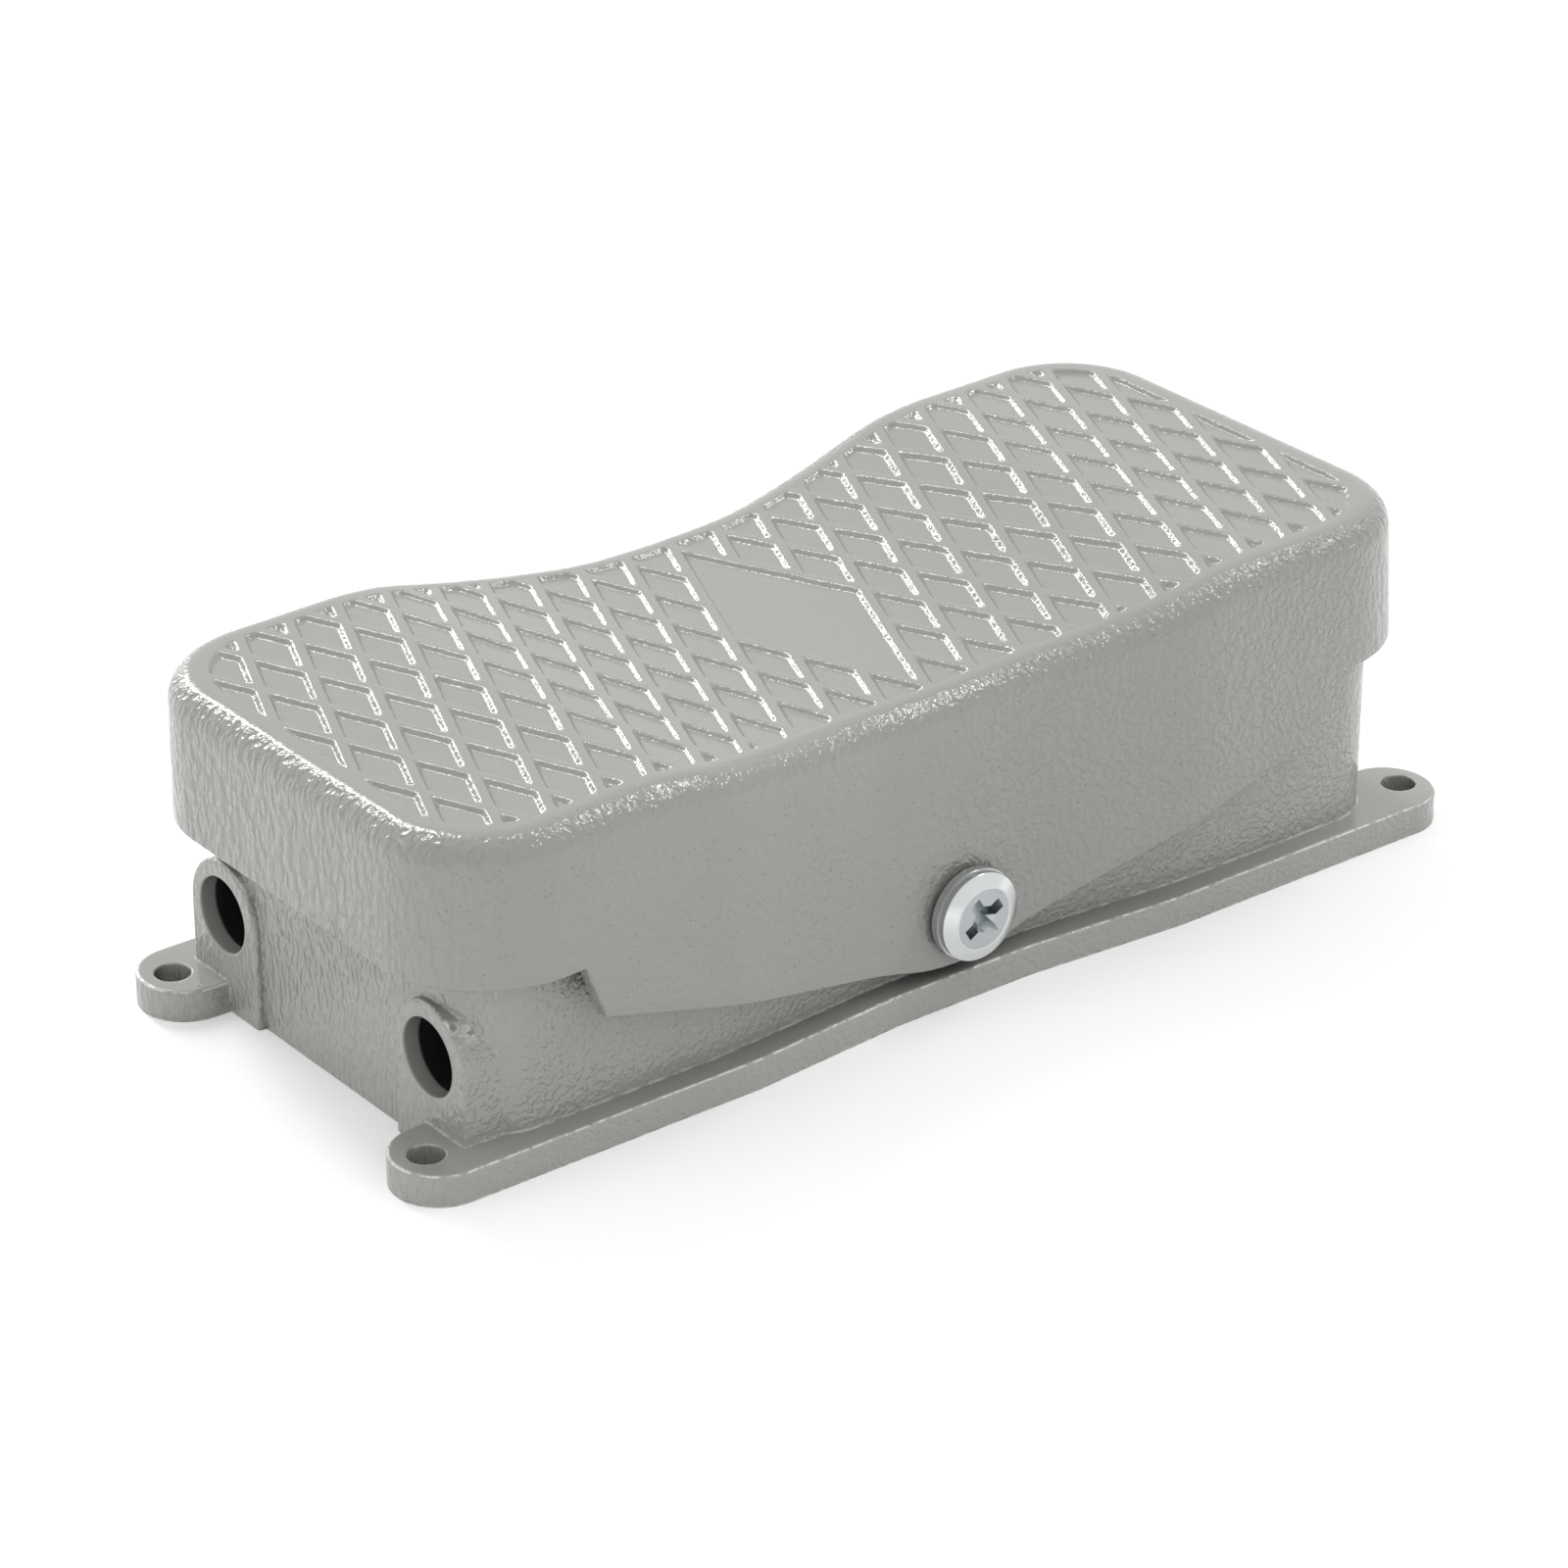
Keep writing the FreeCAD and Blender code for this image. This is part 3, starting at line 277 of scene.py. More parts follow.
@dataclass
class SharedEffects:
    """Node groups for orange peel, fine grain, clouds of dust and painted shade in hollows."""

    grain_detail: float = 3.0
    cloud_detail: float = 4.0
    cloud_roughness: float = 0.6
    cloud_span: Span = (0.35, 0.65)
    sky_samples: int = 6
    sky_span: Span = (0.02, 0.2)

    def __post_init__(self) -> None:
        """Build every group once."""
        self.stove_grain = StoveGrain().group()
        w, given, out = new_group("fine_grain", ("Scale",), ("Height",))
        w.feed(out["Height"], w.noise(w.place(), given["Scale"], self.grain_detail))
        self.fine_grain = w.tree
        w, given, out = new_group("handling", ("Scale",), ("Cloud",))
        cloud = w.noise(w.place(), given["Scale"], self.cloud_detail, self.cloud_roughness)
        w.feed(out["Cloud"], w.ramp(cloud, self.cloud_span))
        self.handling = w.tree
        w, given, out = new_group("painted_hollow_shade", ("Reach",), ("Painted Shade",))
        open_sky = w.node("AmbientOcclusion", {"Distance": given["Reach"]}, samples=self.sky_samples)
        w.feed(out["Painted Shade"], w.fall(open_sky.outputs["AO"], self.sky_span))
        self.painted_hollow_shade = w.tree


def start_material(name: str, metallic: float = 0.0) -> tuple[bpy.types.Material, Wiring, Inputs]:
    """Make a node material.

    Args:
        name: Name of the material.
        metallic: Plain metallic value of its shader.

    Returns:
        The material, its wiring helper and the inputs of its shader.
    """
    material = bpy.data.materials.new(name)
    material.use_nodes = True
    shader = material.node_tree.nodes["Principled BSDF"].inputs
    shader["Metallic"].default_value = metallic
    return material, Wiring(material.node_tree), shader


def toned(colour: Colour, factor: float, lift: float = 0.0) -> Colour:
    """Colour that is made darker by a factor, and paler by a lift."""
    return tuple(factor * part + lift for part in colour[:3]) + (1.0,)


@dataclass(frozen=True)
class StovedPaint:
    """Thick grey stoved paint on a casting."""

    name: str
    colour: Colour = (0.312, 0.312, 0.294, 1.0)
    peel_scale: float = 820.0
    peel_height: float = 0.0002
    ripple: float = 0.16
    level_calm: float = 0.95
    side_calm: float = -0.1
    edge_peel: float = 0.22
    left_share: float = 0.45
    ripple_scale: float = 2400.0
    roughness: float = 0.1
    sheen_change: float = 0.06
    gloss: float = 0.85
    cloud_scale: float = 45.0
    dust_share: float = 0.5
    dust_tone: float = 0.95
    pit_share: float = 0.7
    pit_tone: float = 0.6
    pit_depth: float = 0.4
    hollow_reach: float = 0.09
    painted_shade_colour: Colour = (0.02, 0.02, 0.02, 1.0)
    entry: Triple | None = None
    entry_reach: float = 0.0062
    entry_depth: float = 0.008
    lit_fade: Span = (-0.0004, 0.0002)
    edge_round: float = 0.0
    edge_samples: int = 6
    painted_glint_colour: Colour = (0.74, 0.74, 0.72, 1.0)
    bend_span: Span = (0.88, 0.98)
    fillet_start: Span = (0.5, 0.65)
    fillet_end: Span = (0.82, 0.93)
    glint_break_scale: float = 420.0
    glint_break_detail: float = 3.0
    glint_break_roughness: float = 0.7
    glint_break_span: Span = (0.38, 0.58)

    def in_entry(self, w: Wiring) -> tuple[Socket, Socket]:
        """Masks of the bores that the cables go through.

        Args:
            w: Wiring of the material.

        Returns:
            A mask of the whole bore, and one of the part that lies too deep to be lit, which gets painted shade.
        """
        dark_x, aside, height = self.entry
        x, y, z = w.split(w.place())
        off_y = w.maths("SUBTRACT", w.maths("ABSOLUTE", y), aside)
        off_z = w.maths("SUBTRACT", z, height)
        square = w.maths("MULTIPLY_ADD", off_y, off_y, w.maths("MULTIPLY", off_z, off_z))
        near = w.maths("MULTIPLY", w.maths("LESS_THAN", square, self.entry_reach ** 2),
                       w.maths("LESS_THAN", x, dark_x + self.entry_depth))
        return near, w.maths("MULTIPLY", near, w.ramp(x, tuple(dark_x + fade for fade in self.lit_fade)))

    def painted_edge_glint(self, w: Wiring, rounded: Socket) -> Socket:
        """Mask of the casting's edges and fillets, broken up, where a paler colour is painted as a highlight in place
        of glints.

        Args:
            w: Wiring of the material.
            rounded: Normal that is rounded over at the edges.

        Returns:
            The mask.
        """
        turned = w.node("VectorMath", {0: rounded, 1: w.facing()}, operation="DOT_PRODUCT").outputs["Value"]
        up = w.split(w.facing("True Normal"))[2]
        fillet = w.maths("MULTIPLY", w.ramp(up, self.fillet_start), w.fall(up, self.fillet_end))
        edge = w.maths("MAXIMUM", w.fall(turned, self.bend_span), fillet)
        glint_break = w.noise(w.place(), self.glint_break_scale, self.glint_break_detail, self.glint_break_roughness)
        return w.maths("MULTIPLY", edge, w.ramp(glint_break, self.glint_break_span))

    def material(self, effects: SharedEffects) -> bpy.types.Material:
        """Make the material, with orange peel, pits, a slightly changing sheen, painted shade in hollows and, where
        set, painted highlights along edges.

        Args:
            effects: Shared node groups.

        Returns:
            The material.
        """
        material, w, shader = start_material(self.name)
        grain = w.group(effects.stove_grain, Peel_Scale=self.peel_scale, Level_Calm=self.level_calm,
                        Side_Calm=self.side_calm, Edge_Peel=self.edge_peel, Left_Share=self.left_share,
                        Ripple_Scale=self.ripple_scale, Ripple=self.ripple)
        cloud = w.group(effects.handling, Scale=self.cloud_scale)["Cloud"]
        dusty, pitted = toned(self.colour, self.dust_tone), toned(self.colour, self.pit_tone)
        colour = w.mix(w.maths("MULTIPLY", cloud, self.dust_share), self.colour, dusty)
        colour = w.mix(w.maths("MULTIPLY", grain["Pits"], self.pit_share), colour, pitted)
        height = w.maths("MULTIPLY_ADD", grain["Pits"], -self.pit_depth, grain["Height"])
        # Hollows found by ambient occlusion, and the deep part of the cable bores, are painted near black as shade.
        unlit, outside, below = w.group(effects.painted_hollow_shade, Reach=self.hollow_reach)["Painted Shade"], 1.0, None
        if self.entry is not None:
            near, deep = self.in_entry(w)
            unlit = w.maths("MAXIMUM", unlit, deep)
            outside = w.maths("SUBTRACT", 1.0, near)
            height = w.maths("MULTIPLY", height, outside)
        # Edges and fillets get a paler colour, a painted highlight that stands in for glints.
        if self.edge_round > 0.0:
            below = w.node("Bevel", {"Radius": self.edge_round}, samples=self.edge_samples).outputs[0]
            colour = w.mix(w.maths("MULTIPLY", self.painted_edge_glint(w, below), outside), colour, self.painted_glint_colour)
        w.feed(shader["Base Color"], w.mix(unlit, colour, self.painted_shade_colour))
        w.feed(shader["Roughness"], w.maths("MULTIPLY_ADD", cloud, self.sheen_change, self.roughness))
        w.feed(shader["Specular IOR Level"], self.gloss)
        w.feed(shader["Normal"], w.bump(height, self.peel_height, below))
        return material


@dataclass(frozen=True)
class Grained:
    """Finish with a fine grain, whose tone and sheen change a little over the surface."""

    name: str
    colour: Colour
    roughness: float = 0.45
    metallic: float = 0.0
    grain_scale: float = 3000.0
    grain_height: float = 0.00001
    grain_sheen: float = 0.0
    cloud_scale: float = 90.0
    cloud_tone: float = 0.9
    cloud_lift: float = 0.02
    cloud_sheen: float = 0.1

    def material(self, effects: SharedEffects) -> bpy.types.Material:
        """Make the material.

        Args:
            effects: Shared node groups.

        Returns:
            The material.
        """
        material, w, shader = start_material(self.name, self.metallic)
        marks = w.group(effects.fine_grain, Scale=self.grain_scale)["Height"]
        cloud = w.group(effects.handling, Scale=self.cloud_scale)["Cloud"]
        clouded = toned(self.colour, self.cloud_tone, self.cloud_lift)
        sheen = w.maths("MULTIPLY_ADD", marks, self.grain_sheen, self.roughness - self.grain_sheen / 2)
        w.feed(shader["Base Color"], w.mix(cloud, self.colour, clouded))
        w.feed(shader["Roughness"], w.maths("MULTIPLY_ADD", cloud, self.cloud_sheen, sheen))
        w.feed(shader["Normal"], w.bump(marks, self.grain_height))
        return material


@dataclass(frozen=True)
class Moulded(Grained):
    """Moulded plastic or rubber with faint dust."""


@dataclass(frozen=True)
class PlainMetal(Grained):
    """Plated or bare metal with faint machining marks."""

    roughness: float = 0.3
    metallic: float = 1.0
    grain_scale: float = 3500.0
    grain_height: float = 0.000004
    grain_sheen: float = 0.12
    cloud_scale: float = 160.0
    cloud_tone: float = 0.94
    cloud_lift: float = 0.0
    cloud_sheen: float = 0.0


class Finishes:
    """Every finish of the switch, by the record's slot."""

    def __init__(self) -> None:
        """Build the shared groups and all the materials."""
        effects = SharedEffects()
        coats = {
            Coat.PEDAL: {},
            Coat.TREAD: {"peel_height": 0.00005, "ripple": 0.9, "ripple_scale": 2600.0},
            # On the tub, edge_round turns on painted edge highlights and entry sets where the cable bores get painted
            # shade.
            Coat.TUB: {"colour": (0.372, 0.372, 0.352, 1.0), "peel_scale": 1000.0, "peel_height": 0.00019,
                       "level_calm": 0.85, "edge_peel": -0.3, "left_share": 1.0, "edge_round": 0.0007,
                       "entry": (-0.0825, 0.0256, 0.0152)},
        }
        plain = {
            Slot.ZINC: PlainMetal("bright_zinc", (0.66, 0.68, 0.68, 1.0), 0.2),
            Slot.BRONZE: PlainMetal("bush_bronze", (0.24, 0.18, 0.13, 1.0), 0.45),
            Slot.BLOCK_PLASTIC: Moulded("black_block", (0.03, 0.03, 0.033, 1.0)),
            Slot.PLUNGER_PLASTIC: Moulded("cream_nylon", (0.70, 0.67, 0.58, 1.0), 0.35),
            Slot.BRASS: PlainMetal("terminal_brass", (0.74, 0.55, 0.27, 1.0)),
            Slot.SPRING_STEEL: PlainMetal("spring_wire", (0.42, 0.42, 0.42, 1.0)),
            Slot.BLACK_RUBBER: Moulded("stop_rubber", (0.022, 0.022, 0.022, 1.0), 0.7),
        }
        self.coats = {coat: StovedPaint(coat.value, **looks).material(effects) for coat, looks in coats.items()}
        self.turned_face = PlainMetal("turned_zinc", (0.47, 0.50, 0.51, 1.0), 0.22).material(effects)
        self.slots = {slot: finish.material(effects) for slot, finish in plain.items()}
        self.slots[Slot.GREY_PAINT] = self.coats[Coat.TUB]

    def dress_nodes(self) -> None:
        """Give every CAD node the finish of its slot."""
        for row in frame["record"]["subparts"]:
            node = frame["nodes"][row["node"]]
            finish = self.slots[Slot(row["material_slot"])]
            for slot in node.material_slots:
                slot.material = finish
            LOG.info("dressed %s with %s", row["node"], finish.name)


@dataclass
class Pedal:
    """Cast rocker pedal with its diamond tread, drawn level about the pivot line in millimetres."""

    finish: bpy.types.Material
    tread_finish: bpy.types.Material
    half_length: float = 89.0
    half_width: float = 41.3
    corner: float = 18.0
    shift: float = -1.25
    low: float = 17.4
    top: float = 39.2
    edge: float = 4.2
    draft: float = math.radians(2.0)
    wall: float = 2.5
    waist: float = 5.45
    waist_flat: float = 13.5
    waist_ramp: float = 42.0
    waist_blend: float = 45.0
    dip: float = 5.75
    dip_reach: float = 56.0
    dip_blend: float = 60.0
    skirt_x: float = 68.0
    skirt_step: float = 2.75
    skirt_bottom: float = -8.3
    skirt_slope: float = math.radians(16.0)
    skirt_round: float = 32.0
    rim_round: float = 0.45
    ceiling: float = 29.65
    roof: float = 35.4
    roof_step: float = 46.0
    pitch_x: float = 8.25
    pitch_y: float = 19.75
    rib: float = 0.63
    pocket_slope: float = 0.85
    pocket_lip: float = 0.1
    pocket_corner: float = 0.4
    border_corner: float = 0.5
    middle_pitches: float = 1.5
    tread_depth: float = 0.62
    tread_x: float = 82.7
    tread_y: float = 35.2
    tread_waist: float = 4.8
    tread_corner: float = 12.5
    tilt: float = math.radians(1.5)
    bearing: float = 5.52
    bearing_reach: float = 100.0
    sharp_angle: float = 38.0
    step: float = 0.24
    rows: int = 320
    fillet_rings: int = 8
    wall_rings: int = 14
    inside_rings: int = 4
    rim_turns: tuple[float, ...] = (math.pi / 6, math.pi / 3, math.pi / 2)

    def waist_line(self, along: np.ndarray, full: float, pinch: float) -> np.ndarray:
        """Half width at places along the pedal, with round bends at the waist.

        Args:
            along: Distances from the pedal's middle.
            full: Half width outside the waist.
            pinch: How much narrower the waist is.

        Returns:
            Half widths.
        """
        u = np.abs(along)
        slope = pinch / (self.waist_ramp - self.waist_flat)
        half = self.waist_blend * math.tan(math.atan(slope) / 2)
        reach = half * (1.0 + math.cos(math.atan(slope)))
        straight = np.clip((u - self.waist_flat) * slope, 0.0, pinch)
        near = u - (self.waist_flat - half)
        far = (self.waist_ramp + half) - u
        arc_low, arc_high = (self.waist_blend - np.sqrt(np.maximum(self.waist_blend ** 2 - side ** 2, 0.0))
                             for side in (near, far))
        lifted = np.where((near > 0) & (near < reach), arc_low, straight)
        return full - pinch + np.where((far > 0) & (far < reach), pinch - arc_high, lifted)

    def dip_line(self, along: np.ndarray) -> np.ndarray:
        """Height of the top, which dips in the middle.

        Args:
            along: Distances from the pedal's middle.

        Returns:
            Heights.
        """
        u = np.abs(along)
        radii = (self.dip_reach ** 2 + self.dip ** 2) / (2 * self.dip)
        join = self.dip_reach * (1 - self.dip_blend / radii)
        hollow = radii - self.dip_blend
        bowl = self.top - self.dip + hollow - np.sqrt(hollow ** 2 - np.minimum(u, join) ** 2)
        out = np.clip(self.dip_reach - u, 0.0, self.dip_blend)
        brow = self.top - (self.dip_blend - np.sqrt(self.dip_blend ** 2 - out ** 2))
        return np.where(u < join, bowl, brow)

    def skirt_line(self, along: np.ndarray) -> np.ndarray:
        """Height of the lower edge, which steps and then slopes down to the pivot.

        Args:
            along: Distances from the pedal's middle.

        Returns:
            Heights.
        """
        u = np.abs(along)
        round_x = self.skirt_round * math.sin(self.skirt_slope)
        round_z = self.skirt_bottom + self.skirt_round * (1 - math.cos(self.skirt_slope))
        bowl = self.skirt_bottom + self.skirt_round - np.sqrt(self.skirt_round ** 2 - np.minimum(u, round_x) ** 2)
        vee = round_z + (u - round_x) * math.tan(self.skirt_slope)
        step_x = self.skirt_x - self.skirt_step
        step_z = round_z + (step_x - round_x) * math.tan(self.skirt_slope)
        rise = step_z + (u - step_x) / self.skirt_step * (self.low - step_z)
        return np.where(u > step_x, np.minimum(rise, self.low), np.where(u < round_x, bowl, vee))

    def tread_drop(self, along: np.ndarray, across: np.ndarray) -> np.ndarray:
        """How far the tread's pockets lie under the top.

        Args:
            along: Distances from the pedal's middle.
            across: Distances from the centre line.

        Returns:
            Depths, from nothing on the ribs and border to the full depth in the pockets.
        """
        lean = self.pitch_x / self.pitch_y
        upright = 1 / math.hypot(1.0, lean)
        first, second = along + lean * across, along - lean * across
        gaps = [np.abs((line / self.pitch_x) % 1.0 - 0.5) * self.pitch_x * upright - self.rib
                for line in (first, second)]
        edge = soft_least(*gaps, self.pocket_corner)
        outer = np.maximum(np.abs(first), np.abs(second))
        middle = (self.middle_pitches * self.pitch_x - outer) * upright - self.rib
        edge = np.where(middle > -self.rib, middle, edge)
        half = self.waist_line(along, self.tread_y, self.tread_waist)
        out_x = np.abs(along) - (self.tread_x - self.tread_corner)
        out_y = np.abs(across) - (half - self.tread_corner)
        beyond = np.hypot(np.maximum(out_x, 0.0), np.maximum(out_y, 0.0))
        border = self.tread_corner - beyond - np.minimum(np.maximum(out_x, out_y), 0.0)
        edge = soft_least(edge, border, self.border_corner)
        share = np.clip((edge + self.pocket_lip) / self.pocket_slope, 0.0, 1.0)
        return self.tread_depth * share * share * (3 - 2 * share)

    def side_line(self) -> tuple[np.ndarray, np.ndarray]:
        """Front half of the outline at the level of the end's lower edge.

        Returns:
            Points from the left end to the right end, and their outward normals.
        """
        turns = np.linspace(0.0, math.pi / 2, int(self.corner * math.pi / 2 / self.step))
        straight = self.half_length - self.corner
        run = np.linspace(-straight, straight, int(2 * straight / self.step) + 2)[1:-1]
        width = self.waist_line(run, self.half_width, self.waist)
        lean = np.gradient(width, run)
        size = np.hypot(1.0, lean)
        left = np.stack([-straight - self.corner * np.cos(turns),
                         -(self.half_width - self.corner) - self.corner * np.sin(turns)], 1)
        left_out = np.stack([-np.cos(turns), -np.sin(turns)], 1)
        middle, middle_out = np.stack([run, -width], 1), np.stack([-lean / size, -1 / size], 1)
        return (np.concatenate([left, middle, left[::-1] * (-1, 1)]),
                np.concatenate([left_out, middle_out, left_out[::-1] * (-1, 1)]))

    def inset(self, height: np.ndarray) -> np.ndarray:
        """How far the draft has moved the wall inwards at a height."""
        return (height - self.low) * math.tan(self.draft)

    def fillet_width(self) -> float:
        """Width of the rounding between top and wall, seen from above."""
        return self.edge * math.tan((math.pi / 2 - self.draft) / 2)

    def across_shares(self) -> np.ndarray:
        """Places across the pedal from front to rear, as shares of its half width."""
        return 1 - 2 * np.linspace(0.0, 1.0, self.rows)

    def top_points(self, side: np.ndarray, out: np.ndarray) -> np.ndarray:
        """Grid of points over the top, column by column from the front rim to the rear one.

        Args:
            side: Front half of the outline.
            out: Its outward normals.

        Returns:
            The points.
        """
        rim = side - out * (self.inset(self.dip_line(side[:, 0])) + self.fillet_width())[:, None]
        along = np.repeat(rim[:, :1], self.rows, 1)
        across = rim[:, 1:] * self.across_shares()[None, :]
        height = self.dip_line(along) - self.tread_drop(along, across)
        return np.stack([along, across, height], -1).reshape(-1, 3)

    def outline(self, side: np.ndarray, out: np.ndarray) -> tuple[np.ndarray, np.ndarray]:
        """Outline all the way round: front, right end, rear and left end.

        Args:
            side: Front half of the outline.
            out: Its outward normals.

        Returns:
            Points and outward normals.
        """
        ends = np.stack([np.full(self.rows, self.half_length), side[0, 1] * self.across_shares()], 1)
        ahead = np.tile([1.0, 0.0], (self.rows, 1))
        walls = np.concatenate([side[:-1], ends[:-1], (side * (1, -1))[:0:-1], (ends * (-1, 1))[:0:-1]])
        return walls, np.concatenate([out[:-1], ahead[:-1], (out * (1, -1))[:0:-1], -ahead[:0:-1]])

    def wall_points(self, walls: np.ndarray, normals: np.ndarray) -> list[np.ndarray]:
        """Rings of points from the top's edge down the outside, round the rim and up the inside.

        Args:
            walls: Outline points at the level of the end's lower edge.
            normals: Outward normals of those points.

        Returns:
            One array of points for each ring.
        """
        crown, foot = self.dip_line(walls[:, 0]), self.skirt_line(walls[:, 0])
        start = self.inset(crown) + self.fillet_width()
        made = []

        def ring(inward: np.ndarray, height: np.ndarray) -> None:
            """Keep a ring that lies inward of the outline."""
            made.append(np.concatenate([walls - normals * inward[:, None], height[:, None]], 1))

        for angle in np.linspace(0.0, math.pi / 2 - self.draft, self.fillet_rings + 1)[1:]:
            ring(start - self.edge * math.sin(angle), crown - self.edge * (1 - math.cos(angle)))
        high = crown - self.edge * (1 - math.sin(self.draft))
        for share in np.linspace(0.0, 1.0, self.wall_rings + 1)[1:]:
            height = high + (foot + self.rim_round - high) * share
            ring(self.inset(height), height)
        for angle in self.rim_turns:
            ring(self.inset(foot) + self.rim_round * (1 - math.cos(angle)),
                 foot + self.rim_round * (1 - math.sin(angle)))
        for angle in (0.0, *self.rim_turns):
            ring(self.inset(foot) + self.wall - self.rim_round * (1 - math.sin(angle)),
                 foot + self.rim_round * (1 - math.cos(angle)))
        under = np.where(np.abs(walls[:, 0]) > self.roof_step, self.roof, self.ceiling)
        begin = foot + self.rim_round
        for share in np.linspace(0.0, 1.0, self.inside_rings + 1)[1:]:
            height = begin + (under - begin) * share
            ring(self.inset(height) + self.wall, height)
        return made

    def roof_faces(self, inner: np.ndarray, columns: int) -> Faces:
        """Faces that close the hollow above, in strips from front to rear, and at its two ends.

        Args:
            inner: Numbers of the points of the innermost ring.
            columns: How many points its front half has.

        Returns:
            The faces.
        """
        inner, last, ends = inner.tolist(), columns - 1, self.rows - 1
        front = inner[:columns]
        rear = (inner[last + ends:last + ends + last] + [inner[-ends]])[::-1]
        roof = list(zip(front[:-1], rear[:-1], rear[1:], front[1:]))
        right_end, left_end = inner[last:last + self.rows], inner[-ends:] + inner[:1]
        return roof + [tuple(right_end[::-1]), tuple(left_end[::-1])]

    def shell(self) -> tuple[np.ndarray, Faces]:
        """Points and faces of the whole casting.

        Returns:
            The points about the pivot line, and the faces, those of the top first.
        """
        side, out = self.side_line()
        columns, rows = len(side), self.rows
        below = self.wall_points(*self.outline(side, out))
        index = np.arange(columns * rows).reshape(columns, rows)
        faces = [np.stack([index[:-1, :-1], index[1:, :-1], index[1:, 1:], index[:-1, 1:]], -1).reshape(-1, 4)]
        rings = [np.concatenate([index[:-1, 0], index[-1, :-1], index[:0:-1, -1], index[0, :0:-1]])]
        rings += list(index.size + np.arange(len(below) * len(rings[0])).reshape(len(below), -1))
        for upper, lower in zip(rings[:-1], rings[1:]):
            faces.append(np.stack([upper, lower, np.roll(lower, -1), np.roll(upper, -1)], -1))
        quads = [tuple(face) for face in np.concatenate(faces).tolist()]
        return np.concatenate([self.top_points(side, out), *below]), quads + self.roof_faces(rings[-1], columns)

    def to_frame(self, points: np.ndarray) -> np.ndarray:
        """Move level points in millimetres to the tilted rest place in metres.

        Args:
            points: Level points.

        Returns:
            The moved points.
        """
        x, y, z = points[:, 0] + self.shift, points[:, 1], points[:, 2]
        cosine, sine = math.cos(self.tilt), math.sin(self.tilt)
        return np.stack([x * cosine - z * sine, y, x * sine + z * cosine + PIVOT_Z], 1) * MM

    def build(self) -> bpy.types.Object:
        """Make the pedal, cut its bearings and put it in the CAD pedal's place.

        Returns:
            The pedal.
        """
        points, faces = self.shell()
        mesh = bpy.data.meshes.new("pedal_casting")
        mesh.from_pydata(self.to_frame(points).tolist(), [], faces)
        mesh.update()
        for finish in (self.finish, self.tread_finish):
            mesh.materials.append(finish)
        on_top = (len(self.side_line()[0]) - 1) * (self.rows - 1)
        mesh.polygons.foreach_set("material_index", [int(index < on_top) for index in range(len(faces))])
        pedal = add_object("pedal_casting", mesh)
        combine(pedal, rod("pivot_cutter", self.bearing * MM, self.bearing_reach * MM, Vector((0, 0, PIVOT_Z * MM))))
        smooth(pedal, self.sharp_angle)
        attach(pedal, "pedal")
        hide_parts("pedal_cover")
        LOG.info("made %s with %d faces", pedal.name, len(pedal.data.polygons))
        return pedal


